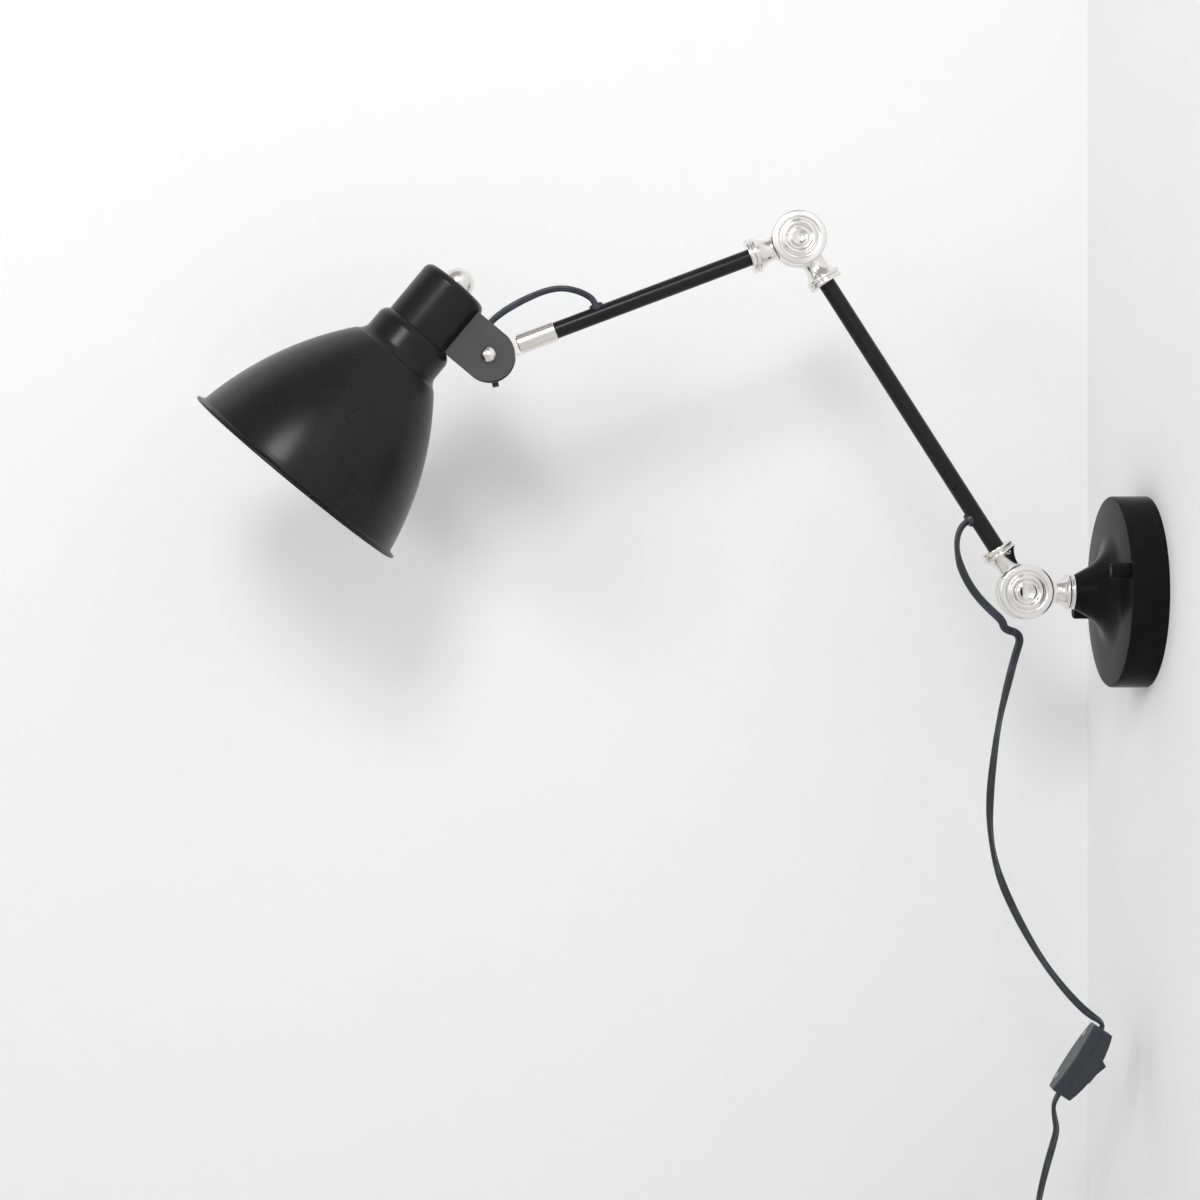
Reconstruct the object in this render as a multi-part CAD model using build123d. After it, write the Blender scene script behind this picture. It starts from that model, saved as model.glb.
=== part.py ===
"""Articulating wall lamp: canopy, two-part arm on turned knuckles, tilting bell shade, corded switch and plug.

Millimetres, +Z up. The wall is the plane X = 0 and the lamp reaches towards -X. The origin is the centre of
the canopy's back. The arms lie in the plane Y = 0. Each function below makes one sub-assembly.
"""
import os
from math import asin, copysign, cos, degrees, dist, hypot, pi, radians, sin, tan

from build123d import *

# ---- arm geometry -------------------------------------------------------------------------------------
HINGE_FROM_WALL = 74.4        # base hinge axis to the wall
LOWER_ARM_LENGTH = 259.7      # base hinge to elbow
UPPER_ARM_LENGTH = 205.0      # elbow to head pivot
LOWER_ARM_ANGLE = 122.64      # degrees from +X, as the lamp is set
UPPER_ARM_ANGLE = 200.63      # degrees from +X, elbow towards the head
SHADE_ANGLE = 50.1            # degrees from +X, mouth towards the neck
TUBE_RADIUS = 5.2
GROMMET_NECK = 2.9
GROMMET_COLLAR = 4.4
GROMMET_HEIGHT = 1.6
TUBE_WALL = 1.0
LOWER_HOLE_FROM_HINGE = 56.0  # cord hole of the lower arm
UPPER_HOLE_FROM_PIVOT = 73.0  # cord hole of the upper arm

# ---- clearances -----------------------------------------------------------------------------------------
FIT = 0.05                    # radial clearance of a shaft in its hole
FACE_GAP = 0.1                # between faces that turn on each other
BODY_GAP = 0.3                # between pieces that pass each other

# ---- knuckles -------------------------------------------------------------------------------------------
KNUCKLE_RADIUS = 17.0
KNUCKLE_DEPTH = 8.8           # one half, from the middle plane to its face
NECK_LENGTH = 15.7            # from the disc's rim to the end of an arm's neck
BASE_NECK_LENGTH = 13.6       # the same on the canopy's side
FLANGE_RADIUS = 11.0
WAIST_RADIUS = 7.0
SOCKET_DEPTH = 11.5           # how far a tube sits in a neck
PIVOT_RADIUS = 3.0
PIVOT_HEAD_RADIUS = 5.3
FRICTION_WASHER = 0.8         # thickness
SET_SCREW_RADIUS = 1.25
SET_SCREW_RISE = 2.6          # from the floor of the tube's socket

# ---- canopy ---------------------------------------------------------------------------------------------
CANOPY_RADIUS = 59.2
CANOPY_RIM = 22.0             # depth of the rim
CANOPY_WALL = 1.4
TIP_RADIUS = 10.8
CONE_LENGTH = 7.7
CONE_ANGLE = 29.2             # half angle
FLARE_RADIUS = 26.0
PLATE_THICKNESS = 2.0
STUD_INSET = 7.7              # the cap nuts' axes from the canopy's outer edge
STUD_TILT = 14.0              # degrees that their line is turned from level
STUD_RADIUS = 2.0
CAP_NUT_RADIUS = 4.65
CAP_NUT_LENGTH = 10.6
WALL_SCREW_SPACING = 70.0
WALL_SCREW_HOLE = 2.4

# ---- shade and socket cup -------------------------------------------------------------------------------
PIVOT_FROM_MOUTH = 134.5      # along the shade's axis
PIVOT_OFF_AXIS = 43.2
SHADE_WALL = 1.0
MOUTH_RADIUS = 73.1
LIP_RADIUS = 77.75
LIP_DROP = -1.0               # of the lip's edge, below the mouth plane
BELL_START = 4.0              # where the bell leaves the lip
BELL_TAPER = 10.76            # degrees, at the mouth
BELL_ARCS = ((210.0, 26.1), (82.5, 4.4))   # radius and angle of each stretch of the bell
COLLAR_STEP = 3.75            # the collar's outside beyond the cup's
COLLAR_BOTTOM = 101.8
COLLAR_TOP = 112.2
SHOULDER_TOP = 117.8
CUP_RADIUS = 22.6
CUP_WALL = 1.2
CUP_BOTTOM = 110.6
CUP_TOP = 155.6
CUP_CORNER = 5.0
FINIAL_RADIUS = 9.7
FINIAL_HEIGHT = 10.1
ROD_RADIUS = 5.0
HOLDER_RADIUS = 19.0
HOLDER_BOTTOM = 108.5
HOLDER_TOP = 150.0
SHELL_RADIUS = 13.3           # inside of the lamp's screw shell
SHELL_WALL = 0.5
SHELL_LENGTH = 24.0

# ---- clevis ---------------------------------------------------------------------------------------------
EAR_WIDTH = 32.5
EAR_THICKNESS = 2.5
TONGUE_THICKNESS = 7.2
TONGUE_RADIUS = 8.0
STEM_RADIUS = 6.25
STEM_START = 19.0             # where the round stem begins, from the head pivot
STEM_END = 43.8               # where the tube begins
SPIGOT_LENGTH = 13.0
HEAD_BOLT_RADIUS = 2.5
HEAD_BOLT_DOME = 5.5
HEAD_BOLT_HEIGHT = 4.2
WING_SPAN = 18.0
WING_THICKNESS = 4.0
WING_TURN = 39.0              # degrees about the pivot
BRACKET_SCREW_SPACING = 23.0
CORD_ENTRY = 3.5              # height of the cord's entry above the head pivot, along the shade's axis
CORD_HOLE = 2.9

# ---- cord, switch and plug ------------------------------------------------------------------------------
CORD_RADIUS = 2.0             # a round of the flat cord's own section area
SWITCH_CENTRE = (-39.8, -290.8)   # X, Z
SWITCH_LEAN = 56.6            # degrees from +X, bottom end towards the top end
SWITCH_LENGTH = 48.0
SWITCH_HALF_WIDTH = 9.5
SWITCH_END_HALF_WIDTH = 5.0
SWITCH_BACK = 6.3
SWITCH_CROWN = 9.3
SWITCH_END_HEIGHT = 6.6
SWITCH_WALL = 1.6
ROCKER_TILT = 12.0
ROCKER_HALF_WIDTH = 5.0
ROCKER_TOP = 6.0              # above its axle
ROCKER_HALF_LENGTH = 7.4
AXLE_HEIGHT = 6.5
AXLE_RADIUS = 1.4
SCREW_OFFSET = 4.6            # of the switch screws from the cord's line
COIL_CENTRE = (-68.5, -468.0)     # X, Z
COIL_OUTER = 36.2             # radius of the outermost turn's centreline
COIL_PITCH = 4.6
COIL_LAYER = 4.6
COIL_QUARTERS = 25
COIL_START = 45.0             # degrees from +X
LEAD_RUN = 13.0
PLUG_WIDTH = 25.0
PLUG_THICKNESS = 15.0
PLUG_BODY = 18.0
PLUG_RELIEF = 20.0
BLADE_SPACING = 12.7
BLADE = (6.3, 1.5, 17.5)      # width, thickness, length

# Cord routes: chosen points (X, Y, Z), between ends that are worked out.
ARM_ROUTE = [(-115.5, 0, 36.3), (-116.5, 0, 28.5), (-114.9, 0, 18.0), (-109.9, 0, 6.5),
             (-102.7, 0, -3.8), (-94.5, 0, -12.0), (-87.9, 0, -17.9), (-86.9, 0, -23.2), (-82.2, 0, -24.375)]
HANGING_ROUTE = [(-82.1, 0, -24.4), (-79.0, 0, -25.175), (-76.9, 0, -29.8), (-79.6, 0, -37.8), (-82.6, 0, -49.0),
                 (-85.9, 0, -62.0), (-90.0, 0, -79.5), (-93.2, 0, -101.0), (-95.9, 0, -126.0),
                 (-95.8, 0, -150.0), (-91.0, 0, -174.5), (-79.6, 0, -200.5), (-64.8, 0, -226.5),
                 (-50.2, 0, -245.8), (-38.9, 0, -257.8), (-32.5, 0, -262.9), (-27.4, 0, -265.9)]
TAIL_ROUTE = [(-56.6, 0, -318.2), (-55.7, 0, -326.0), (-54.2, 0, -333.0), (-56.5, 0, -342.0),
              (-60.8, 0, -356.5), (-65.7, -0.4, -376.5), (-68.1, -1.2, -397.0), (-63.7, -1.9, -415.5)]
HEAD_ROUTE = [(-345.1, 0, 183.8), (-351.7, 0, 186.8), (-360.7, 0, 188.6), (-371.0, 0, 187.0),
              (-383.0, 0, 182.0), (-393.9, 0, 176.1), (-401.7, 0, 170.6), (-405.7, 0, 166.6)]
PLUG_ROUTE = [(-60.7, 2.3, -513.3), (-66.1, 2.3, -524.0), (-68.1, 2.3, -534.0)]


def polar(angle):
    """Unit vector in the XZ plane, angle in degrees from +X towards +Z."""
    return Vector(cos(radians(angle)), 0, sin(radians(angle)))


def frame(centre, angle):
    """Plane at a centre with z along the angle and y along the row's +Y."""
    return Plane(origin=centre, x_dir=polar(angle - 90), z_dir=polar(angle))


BASE_HINGE = Vector(-HINGE_FROM_WALL, 0, 0)
ELBOW = BASE_HINGE + polar(LOWER_ARM_ANGLE) * LOWER_ARM_LENGTH
HEAD_PIVOT = ELBOW + polar(UPPER_ARM_ANGLE) * UPPER_ARM_LENGTH
MOUTH = HEAD_PIVOT - polar(SHADE_ANGLE) * PIVOT_FROM_MOUTH - polar(SHADE_ANGLE - 90) * PIVOT_OFF_AXIS

WALL = Plane(origin=(0, 0, 0), x_dir=(0, 0, 1), z_dir=(-1, 0, 0))
BASE_NECK = frame(BASE_HINGE, 0)
LOWER_FROM_BASE = frame(BASE_HINGE, LOWER_ARM_ANGLE)
LOWER_FROM_ELBOW = frame(ELBOW, LOWER_ARM_ANGLE + 180)
UPPER_FROM_ELBOW = frame(ELBOW, UPPER_ARM_ANGLE)
UPPER_FROM_HEAD = frame(HEAD_PIVOT, UPPER_ARM_ANGLE - 180)
HEAD = frame(HEAD_PIVOT, SHADE_ANGLE)
SHADE = frame(MOUTH, SHADE_ANGLE)
SWITCH = frame((SWITCH_CENTRE[0], 0, SWITCH_CENTRE[1]), SWITCH_LEAN)

NECK_REACH = KNUCKLE_RADIUS + NECK_LENGTH        # hinge axis to the end of a neck
BASE_NECK_REACH = KNUCKLE_RADIUS + BASE_NECK_LENGTH
SOCKET_FLOOR = NECK_REACH - SOCKET_DEPTH
CANOPY_DEPTH = HINGE_FROM_WALL - BASE_NECK_REACH - BODY_GAP
INNER_FACE = FRICTION_WASHER / 2 + FACE_GAP      # of a knuckle half, from the middle plane
HEAD_SEAT = KNUCKLE_DEPTH - 0.6                  # where a pivot head sits
STUD_CIRCLE = CANOPY_RADIUS - STUD_INSET
COLLAR_RADIUS = CUP_RADIUS + COLLAR_STEP
EAR_INSIDE = TONGUE_THICKNESS / 2 + FRICTION_WASHER + 2 * FACE_GAP
EAR_OUTSIDE = EAR_INSIDE + EAR_THICKNESS


def turned(*edges):
    """Solid of revolution about Z from edges drawn as (radius, height)."""
    return revolve(Plane.XZ * make_face(list(edges)), Axis.Z)


def rod(radius, start, end):
    """Round bar along Z."""
    return Pos(0, 0, start) * Cylinder(radius, end - start, align=(Align.CENTER, Align.CENTER, Align.MIN))


def pipe(outer, inner, start, end):
    """Round tube along Z."""
    return rod(outer, start, end) - rod(inner, start - 1, end + 1)


def along_y(part, side=1):
    """Turn a part made along Z to point along +Y, or along -Y with side -1."""
    return Rot(X=-90 * side) * part


def hex_nut(across_flats, bore, start, end):
    """Plain hexagon nut along Z."""
    blank = Pos(0, 0, start) * extrude(RegularPolygon(across_flats / 2, 6, major_radius=False), end - start)
    return blank - rod(bore, start - 1, end + 1)


def cap(radius, base, rise):
    """Arc from (radius, base) to the axis at base + rise, centred on the axis."""
    ball = (radius ** 2 + rise ** 2) / (2 * abs(rise))
    half = asin(radius / ball) / 2
    middle = (ball * sin(half), base + rise - copysign(ball * (1 - cos(half)), rise))
    return ThreePointArc((radius, base), middle, (0, base + rise))


def write(name, *pieces):
    """Write one sub-part, of one solid or several, as parts/NAME.step."""
    export_step(pieces[0] if len(pieces) == 1 else Compound(children=list(pieces)), f"parts/{name}.step")


# ---- knuckles -------------------------------------------------------------------------------------------
def knuckle_half(side, reach=NECK_REACH):
    """One half: a turned disc on its side of the middle plane and a waisted neck along z."""
    face, edge, bore = KNUCKLE_DEPTH, 1.5, PIVOT_RADIUS + FIT
    floor, lip = reach - SOCKET_DEPTH, FLANGE_RADIUS - 0.7
    disc = turned(
        Polyline((bore, INNER_FACE), (KNUCKLE_RADIUS, INNER_FACE), (KNUCKLE_RADIUS, face - edge)),
        ThreePointArc((KNUCKLE_RADIUS, face - edge), (KNUCKLE_RADIUS - 0.44, face - 0.44),
                      (KNUCKLE_RADIUS - edge, face)),
        Line((KNUCKLE_RADIUS - edge, face), (13.4, face + 0.2)),
        ThreePointArc((13.4, face + 0.2), (12.0, face - 0.7), (10.6, face + 0.2)),
        ThreePointArc((10.6, face + 0.2), (9.2, face + 0.8), (7.8, face + 0.2)),
        ThreePointArc((7.8, face + 0.2), (6.8, face - 0.35), (PIVOT_HEAD_RADIUS + 0.2, face)),
        Polyline((PIVOT_HEAD_RADIUS + 0.2, face), (PIVOT_HEAD_RADIUS + 0.2, HEAD_SEAT), (bore, HEAD_SEAT),
                 (bore, INNER_FACE)),
    )
    root, collar = KNUCKLE_RADIUS - 4.0, reach - 5.6
    neck = turned(
        Polyline((0, root), (8.4, root)),
        ThreePointArc((8.4, root), (WAIST_RADIUS, (root + collar) / 2 + 0.4), (lip, collar)),
        ThreePointArc((lip, collar), (lip + 0.7, collar + 1.3), (lip + 0.1, collar + 2.6)),
        Polyline((lip + 0.1, collar + 2.6), (lip - 0.7, collar + 2.9), (lip - 0.7, collar + 3.3),
                 (lip + 0.2, collar + 3.5)),
        ThreePointArc((lip + 0.2, collar + 3.5), (lip + 0.5, collar + 4.5), (lip + 0.2, reach)),
        Polyline((lip + 0.2, reach), (TUBE_RADIUS + FIT, reach), (TUBE_RADIUS + FIT, floor), (0, floor), (0, root)),
    )
    passing = along_y(rod(KNUCKLE_RADIUS + 0.4, -INNER_FACE, 30), -side)
    set_screw_hole = Pos(0, 0, floor + SET_SCREW_RISE) * along_y(rod(SET_SCREW_RADIUS, 0, 20), -1)
    return neck - passing + along_y(disc, side) - set_screw_hole


def set_screw(reach=NECK_REACH):
    """Socket set screw that bears on the tube in a neck."""
    body = rod(SET_SCREW_RADIUS - FIT, TUBE_RADIUS + FIT, WAIST_RADIUS + 0.3)
    key = Pos(0, 0, WAIST_RADIUS - 0.6) * extrude(RegularPolygon(0.65, 6), 2)
    return Pos(0, 0, reach - SOCKET_DEPTH + SET_SCREW_RISE) * along_y(body - key, -1)


def pivot_head(side, shank_end):
    """Dimpled round head; with a shank when shank_end is given."""
    rim, dimple, top = PIVOT_HEAD_RADIUS, 4.4, KNUCKLE_DEPTH + 1.2
    head = turned(
        Polyline((0, HEAD_SEAT), (rim, HEAD_SEAT), (rim, top - 0.4)),
        ThreePointArc((rim, top - 0.4), (rim - 0.4, top), (dimple, top - 0.3)),
        cap(dimple, top - 0.3, -1.1),
        Line((0, top - 1.4), (0, HEAD_SEAT)),
    )
    if shank_end is None:
        return along_y(head - rod(PIVOT_RADIUS + FIT, 0, HEAD_SEAT + 0.8), side)
    return along_y(head + rod(PIVOT_RADIUS, shank_end, HEAD_SEAT), side)


def pivot_set(prefix, centre):
    """Bolt on the near side, nut on the far side and the washer between the discs."""
    here = Plane(origin=centre, x_dir=(1, 0, 0), z_dir=(0, 0, 1))
    write(f"{prefix}_pivot_bolt", here * pivot_head(-1, -(HEAD_SEAT + 0.7)))
    write(f"{prefix}_pivot_nut", here * Pos(0, FACE_GAP, 0) * pivot_head(1, None))
    washer = pipe(KNUCKLE_RADIUS - 1.5, PIVOT_RADIUS + FIT, -FRICTION_WASHER / 2, FRICTION_WASHER / 2)
    write(f"{prefix}_friction_washer", here * along_y(washer))


def arm_tube(start, end, hole_at, hole_side):
    """Thin tube along z with one round cord hole."""
    tube = pipe(TUBE_RADIUS, TUBE_RADIUS - TUBE_WALL, start, end)
    return tube - Pos(0, 0, hole_at) * (Rot(Y=90 * hole_side) * rod(GROMMET_NECK + FIT, 0, 20))


def grommet(hole_at, hole_side):
    """Ring in a tube's cord hole, with a collar that sits on the tube."""
    ring = rod(GROMMET_NECK, TUBE_RADIUS - TUBE_WALL - 0.4, TUBE_RADIUS + 0.5)
    collar = turned(
        Polyline((0, 1.0), (GROMMET_COLLAR, 1.0), (GROMMET_COLLAR, TUBE_RADIUS + 0.5)),
        ThreePointArc((GROMMET_COLLAR, TUBE_RADIUS + 0.5), (GROMMET_COLLAR - 0.35, TUBE_RADIUS + 1.25),
                      (GROMMET_COLLAR - 1.2, TUBE_RADIUS + GROMMET_HEIGHT)),
        Polyline((GROMMET_COLLAR - 1.2, TUBE_RADIUS + GROMMET_HEIGHT), (0, TUBE_RADIUS + GROMMET_HEIGHT), (0, 1.0)),
    )
    placed = Rot(Y=90 * hole_side) * collar - rod(TUBE_RADIUS + FIT, -20, 20)
    half_space = Rot(Y=90 * hole_side) * rod(20, 0, 20)
    placed = placed & half_space
    placed = placed + Rot(Y=90 * hole_side) * ring - Rot(Y=90 * hole_side) * rod(CORD_RADIUS + FIT, 0, 20)
    return Pos(0, 0, hole_at) * placed


# ---- canopy and base ------------------------------------------------------------------------------------
def canopy_outline(inset):
    """Edges of the canopy's skin from the tip to the rim's edge, moved in by inset."""
    slope = radians(90 - CONE_ANGLE)
    heading = Vector(cos(slope), -sin(slope))
    normal = Vector(sin(slope), cos(slope))
    tip = Vector(TIP_RADIUS, CANOPY_DEPTH) - normal * inset
    if inset:
        tip = tip + heading * ((inset - normal.Y * inset) / sin(slope))
    cone_end = Vector(TIP_RADIUS, CANOPY_DEPTH) + heading * (CONE_LENGTH / sin(slope)) - normal * inset
    flare = JernArc(cone_end, heading, FLARE_RADIUS + inset, degrees(slope))
    face = flare @ 1
    edge = 1.5
    rim = CANOPY_RADIUS - inset
    corner = edge - inset if inset < edge else 0.1
    return [Line(tip, cone_end), flare, Line(face, (rim - corner, CANOPY_RIM - inset)),
            ThreePointArc((rim - corner, CANOPY_RIM - inset), (rim - corner * 0.293, CANOPY_RIM - inset - corner * 0.293),
                          (rim, CANOPY_RIM - inset - corner)),
            Line((rim, CANOPY_RIM - inset - corner), (rim, 0))]


def stud_places():
    """Both stud positions in the wall frame, whose x is up and y is away from the viewer."""
    up, side = STUD_CIRCLE * sin(radians(STUD_TILT)), STUD_CIRCLE * cos(radians(STUD_TILT))
    return [(up, -side), (-up, side)]


def canopy_group():
    """Canopy, mounting plate, studs, cap nuts and the nipple that carries the base knuckle."""
    outer, inner = canopy_outline(0), canopy_outline(CANOPY_WALL)
    nipple_hole = TUBE_RADIUS + FIT
    skin = turned(
        *outer, *inner,
        Line((CANOPY_RADIUS, 0), (CANOPY_RADIUS - CANOPY_WALL, 0)),
        Line(outer[0] @ 0, (nipple_hole, CANOPY_DEPTH)),
        Line((nipple_hole, CANOPY_DEPTH), (nipple_hole, (inner[0] @ 0).Y)),
        Line((nipple_hole, (inner[0] @ 0).Y), inner[0] @ 0),
    )
    studs, nuts = [], []
    seat = (outer[1] @ 1).Y + FACE_GAP
    for up, side in stud_places():
        here = Pos(up, side, 0)
        skin = skin - here * rod(STUD_RADIUS + 0.3, 5, 40)
        studs.append(here * rod(STUD_RADIUS, 0.2, seat + CAP_NUT_LENGTH - 2.6))
        nut = turned(
            Polyline((STUD_RADIUS + FIT, seat), (CAP_NUT_RADIUS, seat), (CAP_NUT_RADIUS, seat + CAP_NUT_LENGTH - 1.0)),
            ThreePointArc((CAP_NUT_RADIUS, seat + CAP_NUT_LENGTH - 1.0),
                          (CAP_NUT_RADIUS - 0.3, seat + CAP_NUT_LENGTH - 0.3),
                          (CAP_NUT_RADIUS - 1.0, seat + CAP_NUT_LENGTH)),
            Polyline((CAP_NUT_RADIUS - 1.0, seat + CAP_NUT_LENGTH), (0, seat + CAP_NUT_LENGTH),
                     (0, seat + CAP_NUT_LENGTH - 2.5), (STUD_RADIUS + FIT, seat + CAP_NUT_LENGTH - 2.5),
                     (STUD_RADIUS + FIT, seat)),
        )
        nuts.append(here * nut)
    tilted = Rot(Z=90 + STUD_TILT) * SlotOverall(2 * (STUD_CIRCLE + 5.5), 16)
    upright = SlotOverall(WALL_SCREW_SPACING + 20, 18)
    plate = extrude(tilted + upright, PLATE_THICKNESS)
    for up in (-WALL_SCREW_SPACING / 2, WALL_SCREW_SPACING / 2):
        plate = plate - Pos(up, 0, 0) * rod(WALL_SCREW_HOLE, -1, 5)
    for up, side in stud_places():
        plate = plate - Pos(up, side, 0) * rod(STUD_RADIUS + FIT, -1, 5)
    write("canopy", WALL * skin)
    write("mounting_plate", WALL * plate)
    write("canopy_studs", *(WALL * stud for stud in studs))
    write("cap_nuts", *(WALL * nut for nut in nuts))
    tip_inside = (inner[0] @ 0).Y
    nipple_top = HINGE_FROM_WALL - (BASE_NECK_REACH - SOCKET_DEPTH) - 1.0
    write("base_nipple", WALL * pipe(TUBE_RADIUS, TUBE_RADIUS - 1.6, tip_inside - 7.0, nipple_top))
    write("nipple_washer", WALL * pipe(8.4, TUBE_RADIUS + FIT, tip_inside - 1.0, tip_inside - FACE_GAP))
    write("nipple_locknut", WALL * hex_nut(14, TUBE_RADIUS + FIT, tip_inside - 4.4, tip_inside - 1.1))


def base_knuckle_group():
    """The knuckle half that swivels on the nipple, with the base pivot."""
    write("base_knuckle_near", BASE_NECK * knuckle_half(-1, BASE_NECK_REACH))
    write("base_swivel_screw", BASE_NECK * set_screw(BASE_NECK_REACH))
    pivot_set("base", BASE_HINGE)


def lower_arm_group():
    """Tube between the far half at the base and the near half at the elbow."""
    write("lower_arm_knuckle_far", LOWER_FROM_BASE * knuckle_half(1))
    write("lower_arm_set_screw", LOWER_FROM_BASE * set_screw())
    tube = arm_tube(SOCKET_FLOOR, LOWER_ARM_LENGTH - SOCKET_FLOOR, LOWER_HOLE_FROM_HINGE, -1)
    write("lower_arm_tube", LOWER_FROM_BASE * tube)
    write("lower_cord_grommet", LOWER_FROM_BASE * grommet(LOWER_HOLE_FROM_HINGE, -1))
    inner_cord = rod(CORD_RADIUS, LOWER_HOLE_FROM_HINGE + 6, LOWER_ARM_LENGTH - SOCKET_FLOOR - 0.5)
    write("lower_inner_cord", LOWER_FROM_BASE * (Pos(-TUBE_RADIUS + TUBE_WALL + CORD_RADIUS + 0.1, 0, 0) * inner_cord))
    write("elbow_knuckle_near", LOWER_FROM_ELBOW * knuckle_half(-1))
    write("elbow_near_set_screw", LOWER_FROM_ELBOW * set_screw())
    pivot_set("elbow", ELBOW)


def upper_arm_group():
    """Tube from the elbow's far half to the head stem."""
    write("elbow_knuckle_far", UPPER_FROM_ELBOW * knuckle_half(1))
    write("elbow_far_set_screw", UPPER_FROM_ELBOW * set_screw())
    tube = arm_tube(SOCKET_FLOOR, UPPER_ARM_LENGTH - STEM_END, UPPER_ARM_LENGTH - UPPER_HOLE_FROM_PIVOT, 1)
    write("upper_arm_tube", UPPER_FROM_ELBOW * tube)
    write("upper_cord_grommet", UPPER_FROM_ELBOW * grommet(UPPER_ARM_LENGTH - UPPER_HOLE_FROM_PIVOT, 1))
    inner_cord = rod(CORD_RADIUS, SOCKET_FLOOR + 0.5, UPPER_ARM_LENGTH - UPPER_HOLE_FROM_PIVOT - 6)
    write("upper_inner_cord", UPPER_FROM_ELBOW * (Pos(TUBE_RADIUS - TUBE_WALL - CORD_RADIUS - 0.1, 0, 0) * inner_cord))
    sleeve = turned(
        Polyline((0, STEM_START), (STEM_RADIUS - 0.5, STEM_START), (STEM_RADIUS, STEM_START + 0.5),
                 (STEM_RADIUS, STEM_END - 0.4), (STEM_RADIUS - 0.4, STEM_END), (TUBE_RADIUS - TUBE_WALL - FIT, STEM_END),
                 (TUBE_RADIUS - TUBE_WALL - FIT, STEM_END + SPIGOT_LENGTH), (0, STEM_END + SPIGOT_LENGTH),
                 (0, STEM_START)),
    )
    flat = Circle(TONGUE_RADIUS) + Pos(0, -(STEM_START + 1) / 2) * Rectangle(2 * STEM_RADIUS - 0.8, STEM_START + 1)
    tongue = Plane.XZ.offset(-TONGUE_THICKNESS / 2) * (Rot(Z=180) * flat)
    tongue = extrude(tongue, TONGUE_THICKNESS)
    stem = sleeve + tongue - along_y(rod(HEAD_BOLT_RADIUS + FIT, -20, 20))
    write("head_stem", UPPER_FROM_HEAD * stem)


# ---- head -----------------------------------------------------------------------------------------------
def bell_skin(inset):
    """Arcs of the bell from the lip to its top, moved in by inset, and the point where they end."""
    taper = radians(BELL_TAPER)
    start = Vector(MOUTH_RADIUS, BELL_START) - Vector(cos(taper), sin(taper)) * inset
    heading = Vector(-sin(taper), cos(taper))
    arcs = []
    for radius, angle in BELL_ARCS:
        arc = JernArc(start, heading, radius - inset, angle)
        arcs.append(arc)
        start, heading = arc @ 1, arc % 1
    return arcs


def shade():
    """Spun bell: flared lip, bell, collar and the shoulder that rests on the cup's flange."""
    outer, inner = bell_skin(0), bell_skin(SHADE_WALL)
    lip = LIP_RADIUS - 0.8
    outside, inside = COLLAR_RADIUS, COLLAR_RADIUS - SHADE_WALL
    top = CUP_RADIUS + 0.15
    out_end, in_end = outer[-1] @ 1, inner[-1] @ 1
    out_mid = Vector((out_end.X + outside) / 2 - 0.7, (out_end.Y + COLLAR_BOTTOM) / 2 - 0.35)
    in_mid = Vector((in_end.X + inside) / 2 - 0.7, (in_end.Y + COLLAR_BOTTOM) / 2 - 0.35)
    return turned(
        ThreePointArc(inner[0] @ 0, (MOUTH_RADIUS + 0.2, 1.0), (MOUTH_RADIUS + 1.2, 0)),
        Line((MOUTH_RADIUS + 1.2, 0), (lip, LIP_DROP)),
        ThreePointArc((lip, LIP_DROP), (LIP_RADIUS, LIP_DROP + 0.5), (lip + 0.4, LIP_DROP + 1.6)),
        Line((lip + 0.4, LIP_DROP + 1.6), (MOUTH_RADIUS + 1.6, 1.4)),
        ThreePointArc((MOUTH_RADIUS + 1.6, 1.4), (MOUTH_RADIUS + 0.5, 2.2), outer[0] @ 0),
        *outer,
        ThreePointArc(out_end, out_mid, (outside, COLLAR_BOTTOM)),
        Line((outside, COLLAR_BOTTOM), (outside, COLLAR_TOP)),
        ThreePointArc((outside, COLLAR_TOP), (outside - 0.9, COLLAR_TOP + 2.9), (top, SHOULDER_TOP)),
        Line((top, SHOULDER_TOP), (top, SHOULDER_TOP - 1.3)),
        ThreePointArc((top, SHOULDER_TOP - 1.3), (inside - 0.8, COLLAR_TOP + 2.2), (inside, COLLAR_TOP)),
        Line((inside, COLLAR_TOP), (inside, COLLAR_BOTTOM)),
        ThreePointArc((inside, COLLAR_BOTTOM), in_mid, in_end),
        *inner,
    )


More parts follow.
